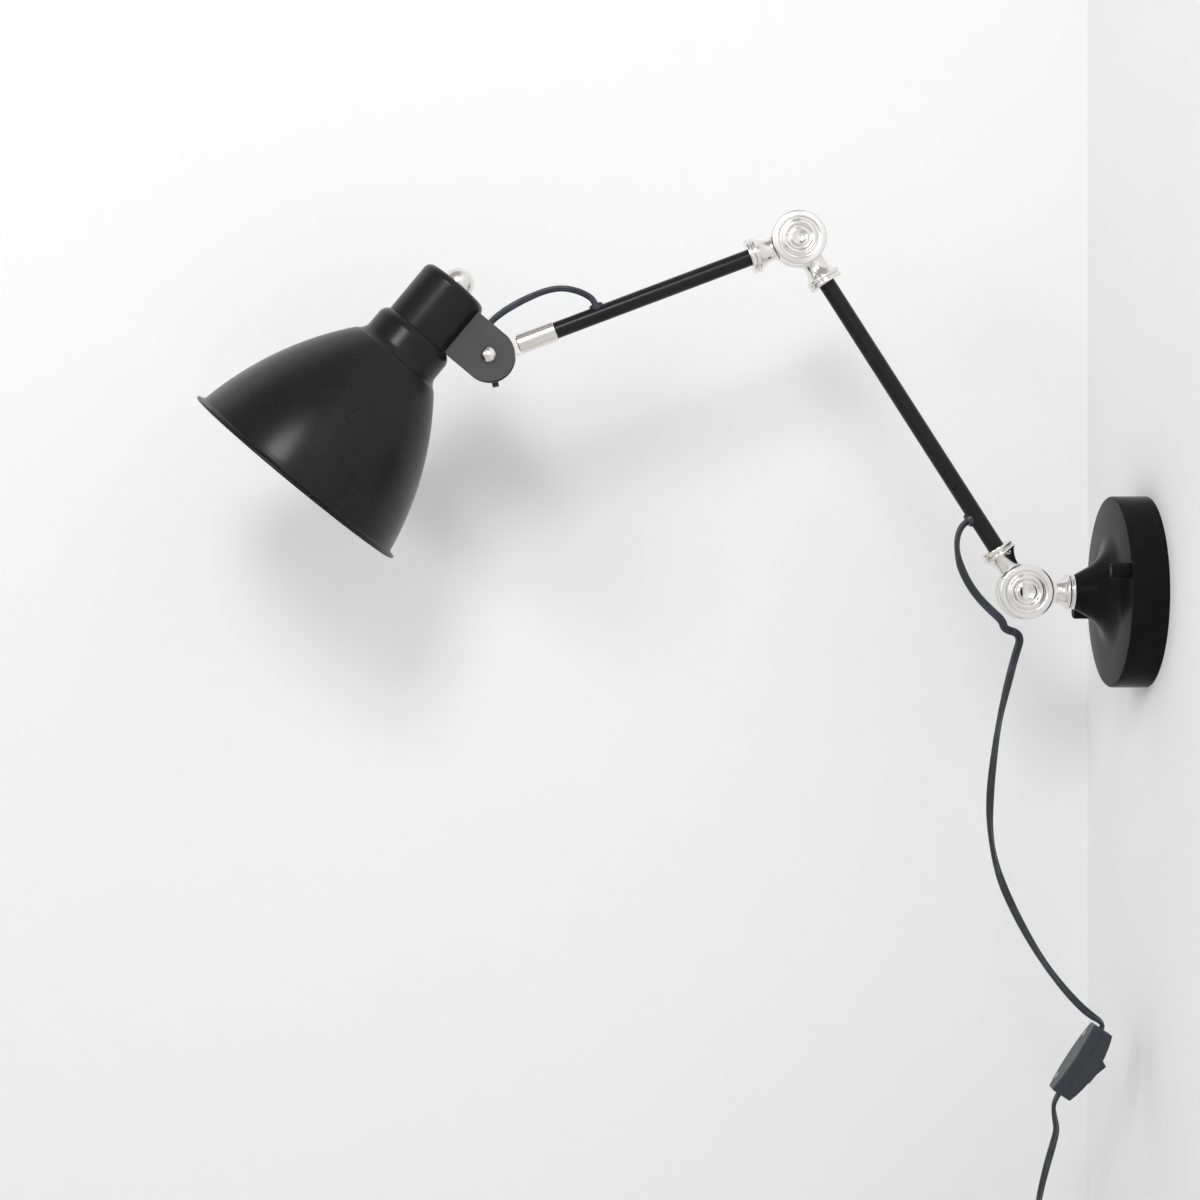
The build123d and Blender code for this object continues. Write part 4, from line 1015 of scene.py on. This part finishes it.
# ---- knuckles
@dataclass
class KnuckleHalf:
    """One half of a knuckle: a turned disc, a dimpled pivot head and a waisted neck.

    The sizes are in millimetres. The side is -1 towards the viewer and 1 away.
    """

    shop: Workshop
    name: str
    centre: Vector
    side: int
    angle: float
    reach: float
    body: Body
    node: str
    head_body: Body
    head_node: str
    finish: Material
    radius: float = 17.0
    face: float = 8.8
    edge: float = 1.5
    edge_bulge: float = 0.44
    raised: float = 0.2
    inner: float = 0.5
    bore: float = 3.05
    head_radius: float = 5.3
    head_height: float = 1.2
    head_edge: float = 0.4
    head_seat: float = 8.2
    head_lift: float = 0.1
    dimple: float = 4.4
    gap: float = 0.4
    core: float = 4.2
    shoulder: float = 8.4
    waist: float = 7.0
    flange: float = 10.3
    collar_length: float = 5.6
    tube: float = 5.25
    socket: float = 11.5
    hollow: float = 7.4

    def make(self) -> None:
        """Make the three pieces."""
        facing = Matrix.Rotation(math.radians(-90 * self.side), 4, "X")
        disc = self._disc(Matrix.Translation(self.centre) @ facing)
        settle(disc, self.body, Slot.NICKEL, self.node)
        seat = self.centre + Vector((0.0, self.side * self.head_lift * MM, 0.0))
        head = self._head(Matrix.Translation(seat) @ facing)
        settle(head, self.head_body, Slot.NICKEL, self.head_node)
        settle(self._neck(), self.body, Slot.NICKEL, self.node)

    def _disc(self, axis: Matrix) -> Piece:
        """Disc with a rounded edge, an outer groove and a raised ring round the head.

        Args:
            axis: matrix from the turning frame to the model's frame.

        Returns:
            The disc.
        """
        rim, face, edge, bulge = self.radius, self.face, self.edge, self.edge_bulge
        hole, proud = self.head_radius + 0.2, face + self.raised
        shape = Profile(self.bore * MM, self.inner * MM).straight((rim, self.inner))
        shape.straight((rim, face - edge))
        shape.via((rim - bulge, face - bulge), (rim - edge, face), 6).straight((13.4, proud))
        shape.via((12.0, face - 0.7), (10.6, proud)).via((9.2, face + 0.8), (7.8, proud))
        shape.via((6.8, face - 0.35), (hole, face), 8)
        shape.straight((hole, self.head_seat), (self.bore, self.head_seat))
        return self.shop.turning.turn(f"{self.name}_disc", shape, axis, self.finish, segments=160)

    def _head(self, axis: Matrix) -> Piece:
        """Round pivot head with a dimple.

        Args:
            axis: matrix from the turning frame to the model's frame.

        Returns:
            The head.
        """
        rim, dimple, top = self.head_radius, self.dimple, self.face + self.head_height
        shape = Profile(0.0, self.head_seat * MM)
        shape.straight((rim, self.head_seat), (rim, top - self.head_edge))
        shape.via((rim - self.head_edge, top), (dimple, top - 0.3), 8)
        shape.via((dimple / 2, top - 1.14), (0.0, top - 1.4), 12)
        return self.shop.turning.turn(f"{self.name}_pivot_head", shape, axis, self.finish,
                                      segments=96, closed=False)

    def _neck(self) -> Piece:
        """Waisted neck with a stepped flange, hollowed where it passes the other half's disc.

        Returns:
            The neck.
        """
        root, lip, reach = self.radius - 4.0, self.flange, self.reach
        collar, bottom = reach - self.collar_length, reach - self.socket
        shape = Profile(0.0, root * MM).straight((self.core, root), (self.shoulder, root))
        shape.via((self.waist, (root + collar) / 2 + 0.4), (lip, collar), 28)
        shape.via((lip + 0.7, collar + 1.3), (lip + 0.1, collar + 2.6), 8)
        shape.straight((lip - 0.7, collar + 2.9), (lip - 0.7, collar + 3.3),
                       (lip + 0.2, collar + 3.5))
        shape.via((lip + 0.5, collar + 4.5), (lip + 0.2, reach), 8)
        shape.straight((self.tube, reach), (self.tube, bottom), (0.0, bottom))
        along, beside = polar(self.angle), polar(self.angle + 90)
        neck = self.shop.turning.turn(f"{self.name}_neck", shape, axes_along(self.centre, along),
                                      self.shop.finishes.neck_nickel, segments=96, closed=False)
        clear, middle = (self.radius + self.gap) * MM, self.inner * MM
        narrow = self.hollow * MM
        for vertex in neck.data.vertices:
            across = vertex.co - self.centre
            forward, sideways = across.dot(along), across.dot(beside)
            if vertex.co.y * self.side < middle and math.hypot(forward, sideways) < clear:
                kept = min(max(sideways, -narrow), narrow)
                flat = self.centre + along * math.sqrt(clear ** 2 - kept ** 2) + beside * kept
                vertex.co = (flat.x, vertex.co.y, flat.z)
        return neck


def make_knuckles(shop: Workshop) -> None:
    """Make both halves of both knuckles.

    Args:
        shop: the finishes and the trees.
    """
    base, elbow, paint = LAYOUT.base_hinge, LAYOUT.elbow, shop.finishes
    lower, upper = LAYOUT.lower_angle, LAYOUT.upper_angle
    KnuckleHalf(shop, "base_near", base, -1, 0.0, 30.6, Body.KNUCKLE, "base_knuckle_near",
                Body.KNUCKLE, "base_pivot_bolt", paint.base_nickel).make()
    KnuckleHalf(shop, "base_far", base, 1, lower, 32.7, Body.LOWER, "lower_arm_knuckle_far",
                Body.KNUCKLE, "base_pivot_nut", paint.base_nickel).make()
    KnuckleHalf(shop, "elbow_near", elbow, -1, lower + 180, 32.7, Body.LOWER,
                "elbow_knuckle_near", Body.LOWER, "elbow_pivot_bolt", paint.elbow_nickel).make()
    KnuckleHalf(shop, "elbow_far", elbow, 1, upper, 32.7, Body.UPPER, "elbow_knuckle_far",
                Body.LOWER, "elbow_pivot_nut", paint.elbow_nickel).make()


# ---- shade
@dataclass
class Shade:
    """Spun bell with a rolled lip, a collar and a rounded shoulder."""

    shop: Workshop
    wall: float = 0.001
    mouth_radius: float = 0.0731
    lip_radius: float = 0.07775
    lip_drop: float = -0.001
    lip_height: float = 0.0016
    lip_edge: float = 0.0004
    bell_start: float = 0.004
    bell_taper: float = 10.76
    bell_arcs: tuple[Pair, ...] = ((0.2100, 26.1), (0.0825, 4.4))
    bell_steps: int = 40
    foot_bow: float = 0.0008
    collar_radius: float = 0.02635
    collar_bottom: float = 0.1018
    collar_top: float = 0.1122
    shoulder_top: float = 0.1178
    shoulder_wall: float = 0.0013
    cup_radius: float = 0.0226
    cup_gap: float = 0.00015

    def _bell(self, profile: Profile, inset: float) -> None:
        """Run a profile up the bell to the collar's foot.

        Args:
            profile: the profile, which ends at the lip.
            inset: how far inside the outer face it runs.
        """
        taper = math.radians(self.bell_taper)
        heading = Vector((-math.sin(taper), math.cos(taper)))
        outwards = Vector((math.cos(taper), math.sin(taper)))
        profile.line(*(Vector((self.mouth_radius, self.bell_start)) - outwards * inset))
        for radius, angle in self.bell_arcs:
            heading = profile.arc(heading, radius - inset, angle, self.bell_steps)
        profile.bow(self.collar_radius - inset, self.collar_bottom, self.foot_bow)

    def make(self) -> None:
        """Make the bell as one closed shell."""
        lip, mouth, drop = self.lip_radius, self.mouth_radius, self.lip_drop
        neck = self.cup_radius + self.cup_gap
        outer = Profile(mouth + 0.0012, 0.0).line(lip - 0.0008, drop)
        outer.bow(lip - self.lip_edge, drop + self.lip_height, -self.lip_edge)
        outer.line(mouth + 0.0016, 0.0014).bow(mouth, self.bell_start, 0.0005)
        self._bell(outer, 0.0)
        outer.line(self.collar_radius, self.collar_top).bow(neck, self.shoulder_top, -0.0008)
        inner = Profile(mouth - 0.0002, 0.0012)
        self._bell(inner, self.wall)
        inner.line(self.collar_radius - self.wall, self.collar_top)
        inner.bow(neck, self.shoulder_top - self.shoulder_wall, -0.0006)
        outer.points += inner.points[::-1]
        place = axes_along(LAYOUT.mouth, polar(LAYOUT.shade_angle))
        finish = self.shop.finishes.of(Slot.BLACK_SATIN)
        bell = self.shop.turning.turn("shade_bell", outer, place, finish, segments=256)
        settle(bell, Body.HEAD, Slot.BLACK_SATIN, "shade")


# ---- cords
@dataclass(frozen=True)
class TwinSection:
    """Section of the flat twin cord: two round cores joined by a thin web."""

    width: float = 0.0052
    thickness: float = 0.0028
    web: float = 0.0017
    steps: int = 9

    def outline(self) -> list[Pair]:
        """Points round the section.

        Returns:
            The points, as (across, through).
        """
        core = self.thickness / 2
        middle = self.width / 2 - core
        groove = math.degrees(math.asin(self.web / 2 / core))
        points = []
        for side, first in ((1, -180 + groove), (-1, groove)):
            for step in range(self.steps):
                angle = math.radians(first + (360 - 2 * groove) * step / (self.steps - 1))
                points.append((side * middle + core * math.cos(angle), core * math.sin(angle)))
        return points


@dataclass(frozen=True)
class Bend:
    """Two bodies and two route points for a stretch: the first body up to its start, the last from
    its end. Only whether a stretch has one is read.
    """

    first: Body
    last: Body
    start: Vector
    end: Vector


@dataclass
class Cord:
    """A free stretch of flat cord along a smooth spline.

    The twist gives (share of the length, degrees): at 0 the flat lies across the viewer's line,
    at 90 it faces the viewer. A stretch without a bend rides on the wall's body.
    """

    name: str
    route: list[Vector]
    twist: tuple[Pair, ...]
    finish: Material
    exit_point: Vector
    lay: str
    nodes: Sequence[str]
    far_end: str = "object"
    with_pieces: Sequence[str] = ()
    bend: Optional[Bend] = None
    section: TwinSection = TwinSection()

    SHORTEST = 0.0002

    def _centreline(self) -> list[Vector]:
        """Read the points of the route's own spline.

        Returns:
            The points, without those that lie together.
        """
        line = add_spline(self.name + "_line", "NURBS", self.route)
        line.data.resolution_u = 6
        line.data.splines[0].order_u = 3
        line.data.splines[0].use_endpoint_u = True
        mesh = evaluated_mesh(line)
        points = [vertex.co.copy() for vertex in mesh.vertices]
        bpy.data.objects.remove(line)
        bpy.data.meshes.remove(mesh)
        kept = [points[0]]
        for point in points[1:]:
            if (point - kept[-1]).length > self.SHORTEST:
                kept.append(point)
        return kept

    def _turn_at(self, share: float) -> float:
        """Twist at a share of the length, eased between the listed ones.

        Args:
            share: from 0 at the start to 1 at the end.

        Returns:
            The twist in radians.
        """
        for (low, first), (high, last) in zip(self.twist, self.twist[1:]):
            if share <= high:
                part = (share - low) / (high - low)
                return math.radians(first + (last - first) * part * part * (3 - 2 * part))
        return math.radians(self.twist[-1][1])

    def _sweep(self) -> tuple[Piece, list[Vector], float]:
        """Sweep the section along the spline.

        Returns:
            The cord piece, its centreline and the centreline's length.
        """
        line = self._centreline()
        runs = [(b - a).length for a, b in zip(line, line[1:])]
        total, gone = sum(runs), 0.0
        outline = self.section.outline()
        normal = Vector((0.0, 1.0, 0.0))
        points, faces, count = [], [], len(outline)
        for number, here in enumerate(line):
            before, after = line[max(number - 1, 0)], line[min(number + 1, len(line) - 1)]
            tangent = (after - before).normalized()
            normal = (normal - tangent * normal.dot(tangent)).normalized()
            side = tangent.cross(normal)
            angle = self._turn_at(gone / total)
            wide = normal * math.cos(angle) + side * math.sin(angle)
            thin = tangent.cross(wide)
            points += [here + wide * across + thin * through for across, through in outline]
            gone += runs[number] if number < len(runs) else 0.0
        for ring in range(len(line) - 1):
            for k in range(count):
                a, b = ring * count + k, ring * count + (k + 1) % count
                faces.append((a, b, b + count, a + count))
        faces.append(tuple(range(count))[::-1])
        faces.append(tuple((len(line) - 1) * count + k for k in range(count)))
        piece = mesh_piece(self.name, points, faces, self.finish)
        face_outwards(piece)
        return piece, line, total

    def make(self) -> None:
        piece, line, length = self._sweep()
        bend = self.bend
        if bend is None:
            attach(piece, Body.WALL.value)
        else:
            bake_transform(piece)
        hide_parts(*self.nodes)
        LOG.info("%s: %.0f mm of cord, %d faces", piece.name, length / MM,
                 len(piece.data.polygons))


@dataclass
class Cords:
    """The cord, from the head to the plug, in the stretches that show.

    The routes, the switch and the coil are in millimetres.
    """

    shop: Workshop
    switch_centre: Point = (-39.8, 0.0, -290.8)
    switch_lean: float = 56.6
    switch_length: float = 48.0
    coil_centre: Pair = (-68.5, -468.0)
    coil_outer: float = 36.2
    coil_pitch: float = 4.6
    coil_layer: float = 4.6
    coil_quarters: int = 25
    coil_start: float = 45.0
    points_per_quarter: int = 4
    lead_in: float = 16.0
    lead_out: float = 13.0
    in_grommet: float = 0.0036
    clear_of_grommet: float = 0.0092
    cord_entry: float = 0.0035
    cup_radius: float = 0.0226
    inside_cup: float = 0.019

    ARM_ROUTE = [(-115.5, 0, 36.3), (-116.5, 0, 28.5), (-114.9, 0, 18.0), (-109.9, 0, 6.5),
                 (-102.7, 0, -3.8), (-94.5, 0, -12.0), (-87.9, 0, -17.9), (-86.9, 0, -23.2),
                 (-82.2, 0, -24.375)]
    HANGING_ROUTE = [(-82.1, 0, -24.4), (-79.0, 0, -25.175), (-76.9, 0, -29.8),
                     (-79.6, 0, -37.8), (-82.6, 0, -49.0), (-85.9, 0, -62.0),
                     (-90.0, 0, -79.5), (-93.2, 0, -101.0), (-95.9, 0, -126.0),
                     (-95.8, 0, -150.0), (-91.0, 0, -174.5), (-79.6, 0, -200.5),
                     (-64.8, 0, -226.5), (-50.2, 0, -245.8), (-38.9, 0, -257.8),
                     (-32.5, 0, -262.9), (-27.4, 0, -265.9)]
    TAIL_ROUTE = [(-56.6, 0, -318.2), (-55.7, 0, -326.0), (-54.2, 0, -333.0),
                  (-56.5, 0, -342.0), (-60.8, 0, -356.5), (-65.7, -0.4, -376.5),
                  (-68.1, -1.2, -397.0), (-63.7, -1.9, -415.5)]
    HEAD_ROUTE = [(-345.1, 0, 183.8), (-351.7, 0, 186.8), (-360.7, 0, 188.6),
                  (-371.0, 0, 187.0), (-383.0, 0, 182.0), (-393.9, 0, 176.1),
                  (-401.7, 0, 170.6), (-405.7, 0, 166.6)]
    PLUG_ROUTE = [(-60.7, 2.3, -513.3), (-66.1, 2.3, -524.0), (-68.1, 2.3, -534.0),
                  (-68.1, 2.3, -543.0)]

    def make(self) -> None:
        """Make all stretches."""
        for stretch in (self._by_lower_arm(), self._to_switch(), self._to_plug(), self._to_head()):
            stretch.make()

    def _coil_point(self, quarter: float) -> Vector:
        """Point of the coil's centreline.

        Args:
            quarter: quarter turns from the coil's start.

        Returns:
            The point in millimetres.
        """
        middle = self.coil_quarters / 2
        radius = self.coil_outer - self.coil_pitch * (middle - abs(quarter - middle)) / 4
        climb = min(max((quarter - middle) / 2 + 0.5, 0.0), 1.0)
        layer = self.coil_layer * (climb * climb * (3 - 2 * climb) - 0.5)
        around = polar(self.coil_start - 90 * quarter) * radius
        return Vector((self.coil_centre[0] + around.x, layer, self.coil_centre[1] + around.z))

    def _coil(self) -> list[Vector]:
        """The coil's turns with the runs that lead in and out.

        Returns:
            The points in millimetres.
        """
        step, last = 0.01, float(self.coil_quarters)
        first, final = self._coil_point(0.0), self._coil_point(last)
        way_in = (self._coil_point(step) - first).normalized()
        way_out = (final - self._coil_point(last - step)).normalized()
        count = self.coil_quarters * self.points_per_quarter
        turns = [self._coil_point(k / self.points_per_quarter) for k in range(count + 1)]
        return [first - way_in * self.lead_in, *turns, final + way_out * self.lead_out]

    def _from_grommet(self, hole: Vector, out: Vector) -> list[Vector]:
        """The first two points of a stretch, in an arm's grommet and clear of it."""
        return [hole + out * self.in_grommet, hole + out * self.clear_of_grommet]

    def _switch_end(self, side: int, outside: float, inside: float) -> tuple[Point, Point]:
        """The points where the cord meets an end of the switch.

        Args:
            side: 1 for the upper end, -1 for the lower.
            outside: how far before the end the cord straightens.
            inside: how far it goes in.

        Returns:
            The outer and the inner point, in millimetres.
        """
        lean = polar(self.switch_lean) * side
        end = Vector(self.switch_centre) + lean * (self.switch_length / 2)
        return tuple(end + lean * outside), tuple(end - lean * inside)

    def _by_lower_arm(self) -> Cord:
        """From the lower arm's grommet to the fold below the base knuckle.

        Returns:
            The stretch.
        """
        start = self._from_grommet(LAYOUT.lower_exit, polar(LAYOUT.lower_angle + 90))
        route = [*start, *in_metres(self.ARM_ROUTE)]
        twist = ((0.0, 40.0), (0.25, 25.0), (0.45, 80.0), (0.8, 95.0), (1.0, 80.0))
        return Cord("cord_by_lower_arm", route, twist, self.shop.finishes.of(Slot.CORD), route[1],
                    "loose", ["arm_cord"], bend=Bend(Body.LOWER, Body.KNUCKLE, route[3], route[-2]))

    def _to_switch(self) -> Cord:
        """From the fold to the switch.

        Returns:
            The stretch.
        """
        route = in_metres([*self.HANGING_ROUTE, *self._switch_end(1, outside=2.0, inside=1.8)])
        twist = ((0.0, 80.0), (0.1, 75.0), (0.22, 35.0), (0.38, 70.0), (0.5, 25.0),
                 (0.62, 75.0), (0.8, 40.0), (0.93, 60.0), (1.0, 0.0))
        switch = [f"switch_{part}" for part in
                  ("front_shell", "back_shell", "screws", "contacts", "rocker")]
        return Cord("cord_to_switch", route, twist, self.shop.finishes.of(Slot.CORD), route[0],
                    "hanging", ["hanging_cord"], with_pieces=switch,
                    bend=Bend(Body.KNUCKLE, Body.WALL, route[2], route[6]))

    def _to_plug(self) -> Cord:
        """From the switch through the put-away coil to the plug.

        Returns:
            The stretch.
        """
        outer, inner = self._switch_end(-1, outside=2.2, inside=1.8)
        route = in_metres([inner, outer, *self.TAIL_ROUTE, *self._coil(), *self.PLUG_ROUTE])
        twist = ((0.0, 0.0), (0.03, 60.0), (0.07, 25.0), (0.105, 0.0), (1.0, 0.0))
        return Cord("cord_to_plug", route, twist, self.shop.finishes.of(Slot.CORD), route[0],
                    "coiled", ["tail_cord", "cord_coil", "plug_lead"], far_end="plug",
                    with_pieces=["plug_body", "plug_blades", "coil_tie"])

    def _to_head(self) -> Cord:
        """From the upper arm's grommet over to the bracket's foot.

        Returns:
            The stretch.
        """
        start = self._from_grommet(LAYOUT.upper_exit, polar(LAYOUT.upper_angle - 90))
        upward, inward = polar(LAYOUT.shade_angle), polar(LAYOUT.shade_angle + 90)
        entry = LAYOUT.head_pivot + upward * self.cord_entry
        turn = entry + inward * (LAYOUT.pivot_off_axis - self.cup_radius - 0.006)
        above = turn + upward * 0.0054 - inward * 0.0024
        end = entry + inward * (LAYOUT.pivot_off_axis - self.inside_cup - 0.0003)
        route = [*start, *in_metres(self.HEAD_ROUTE), above, turn, end]
        twist = ((0.0, 30.0), (0.3, 20.0), (0.6, 35.0), (1.0, 10.0))
        return Cord("cord_to_head", route, twist, self.shop.finishes.of(Slot.CORD), route[1],
                    "loose", ["head_cord"], bend=Bend(Body.UPPER, Body.HEAD, route[3], route[-4]))


# ---- plug
@dataclass
class PlugRelief:
    """Soft rings round the plug's tapered strain relief."""

    shop: Workshop
    top: Point = (-0.0681, 0.0023, -0.5402)
    rings: int = 7
    pitch: float = 0.0022
    radius: float = 0.0047
    growth: float = 0.00028
    bead: float = 0.0004
    depth: float = 0.0008
    bead_shares: Point = (0.1, 0.75, 0.8)

    def make(self) -> None:
        """Make the rings as one turned sleeve."""
        start, end, groove = self.bead_shares
        shape = Profile(self.radius - self.depth, 0.0)
        for ring in range(self.rings):
            radius, height = self.radius + self.growth * ring, self.pitch * ring
            shape.line(radius - self.bead, height + start * self.pitch)
            shape.bow(radius - self.bead, height + end * self.pitch, -self.bead, 6)
            shape.line(radius - 2 * self.bead, height + groove * self.pitch)
        shape.line(self.radius - self.depth, self.pitch * self.rings)
        place = axes_along(Vector(self.top), Vector((0.0, 0.0, -1.0)))
        finish = self.shop.finishes.of(Slot.PLUG)
        sleeve = self.shop.turning.turn("plug_relief_rings", shape, place, finish, segments=48)
        settle(sleeve, Body.WALL, Slot.PLUG)


# ---- room, light and camera
@dataclass
class Room:
    """Pale corner of a room: the lamp's wall, the wall behind it and the floor."""

    wall_colour: Point = (0.90, 0.90, 0.905)
    floor_colour: Point = (0.80, 0.79, 0.78)
    patch_scale: float = 1.2
    patch_shade: float = 0.985
    back_wall: float = 0.150
    reach: float = 3.0
    floor_height: float = -0.80

    def _paint(self, name: str, colour: Point) -> Material:
        """Matt wall paint that lets a viewer behind the wall look through.

        Args:
            name: the material's name.
            colour: linear RGB.

        Returns:
            The material.
        """
        material = bpy.data.materials.new(name)
        book = Nodes.cleared(material)
        place = book.add("ShaderNodeTexCoord").outputs["Object"]
        patches = book.noise(place, self.patch_scale, detail=3.0)
        darker = tuple(self.patch_shade * part for part in colour)
        paint = book.add("ShaderNodeBsdfDiffuse", {"Color": book.mix(patches, colour, darker)})
        behind = book.add("ShaderNodeNewGeometry").outputs["Backfacing"]
        clear = book.add("ShaderNodeBsdfTransparent")
        mixed = book.add("ShaderNodeMixShader", {0: behind, 1: paint.outputs[0],
                                                 2: clear.outputs[0]})
        book.add("ShaderNodeOutputMaterial", {"Surface": mixed.outputs[0]})
        return material

    def make(self) -> None:
        """Make the two walls and the floor."""
        low, high, far, back = self.floor_height, self.reach, -self.reach, self.back_wall
        paint = self._paint("wall_paint", self.wall_colour)
        floor = self._paint("floor_paint", self.floor_colour)
        for name, corners, finish in (
                ("room_back_wall", ((far, back, low), (0, back, low), (0, back, high),
                                    (far, back, high)), paint),
                ("room_lamp_wall", ((0, back, low), (0, far, low), (0, far, high),
                                    (0, back, high)), paint),
                ("room_floor", ((far, far, low), (0, far, low), (0, back, low),
                                (far, back, low)), floor)):
            mesh_piece(name, corners, [(0, 1, 2, 3)], finish, smooth=False)


@dataclass(frozen=True)
class SoftBox:
    """One rectangular lamp that looks at the object."""

    name: str
    direction: Point
    distance: float
    size: Pair
    power: float
    aim: Point = (-0.27, 0.0, 0.02)
    roll: float = 0.0

    def make(self) -> None:
        """Place the lamp."""
        light = bpy.data.lights.new(self.name, "AREA")
        light.shape = "RECTANGLE"
        light.size, light.size_y = self.size
        light.energy = self.power
        lamp = add_object(self.name, light)
        towards = Vector(self.direction).normalized()
        lamp.location = Vector(self.aim) + towards * self.distance
        rolled = Quaternion((0.0, 0.0, 1.0), math.radians(self.roll))
        lamp.rotation_euler = (towards.to_track_quat("Z", "Y") @ rolled).to_euler()


@dataclass
class Studio:
    """Soft light, the pale surroundings and the camera."""

    boxes: tuple[SoftBox, ...] = (
        SoftBox("key_light", (-0.20, -0.84, 0.50), 1.7, (0.45, 0.45), 9.0),
        SoftBox("strip_light", (0.50, -0.75, 0.43), 1.6, (0.16, 1.5), 7.0,
                aim=(-0.48, 0.0, 0.13), roll=-40.0),
        SoftBox("left_light", (-0.705, -0.658, 0.264), 1.8, (0.35, 0.5), 4.0),
    )
    horizon: Point = (0.80, 0.80, 0.80)
    zenith: Point = (0.42, 0.415, 0.41)
    nadir: Point = (0.24, 0.215, 0.20)
    zenith_span: Pair = (0.35, 0.62)
    nadir_span: Pair = (-0.30, -0.60)
    camera_place: Point = (-0.3375, -1.302, -0.005)
    lens: float = 63.0
    sensor: float = 36.0

    def make(self) -> None:
        """Make lamps, world and camera."""
        for box in self.boxes:
            box.make()
        self._world()
        self._camera()

    def _world(self) -> None:
        """Surroundings bright at eye level, darker above and below, the same to every ray."""
        world = bpy.data.worlds.new("surroundings")
        bpy.context.scene.world = world
        book = Nodes.cleared(world)
        place = book.add("ShaderNodeTexCoord").outputs["Generated"]
        height = book.add("ShaderNodeSeparateXYZ", {0: place}).outputs["Z"]
        colour = book.mix(book.remap(height, self.zenith_span), self.horizon, self.zenith)
        colour = book.mix(book.remap(height, self.nadir_span), colour, self.nadir)
        background = book.add("ShaderNodeBackground", {"Color": colour})
        book.add("ShaderNodeOutputWorld", {"Surface": background.outputs[0]})

    def _camera(self) -> None:
        """Level camera square to the lamp's plane."""
        data = bpy.data.cameras.new("camera")
        data.lens, data.sensor_width = self.lens, self.sensor
        camera = add_object("camera", data)
        camera.location = self.camera_place
        camera.rotation_euler = (math.radians(90), 0.0, 0.0)
        bpy.context.scene.camera = camera


def main() -> None:
    """Build the lamp round the frame, in order."""
    logging.basicConfig(level=logging.INFO, format="%(name)s: %(message)s")
    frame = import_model()
    bpy.context.scene.view_settings.view_transform = "Standard"
    Studio().make()
    finishes = Finishes(Effects())
    finishes.dress_nodes(frame["nodes"])
    shop = Workshop(finishes, TurningTree(), PlacingTree())
    Cords(shop).make()
    Canopy(shop).make()
    make_knuckles(shop)
    Shade(shop).make()
    PlugRelief(shop).make()
    Room().make()


if __name__ == "__main__":
    main()
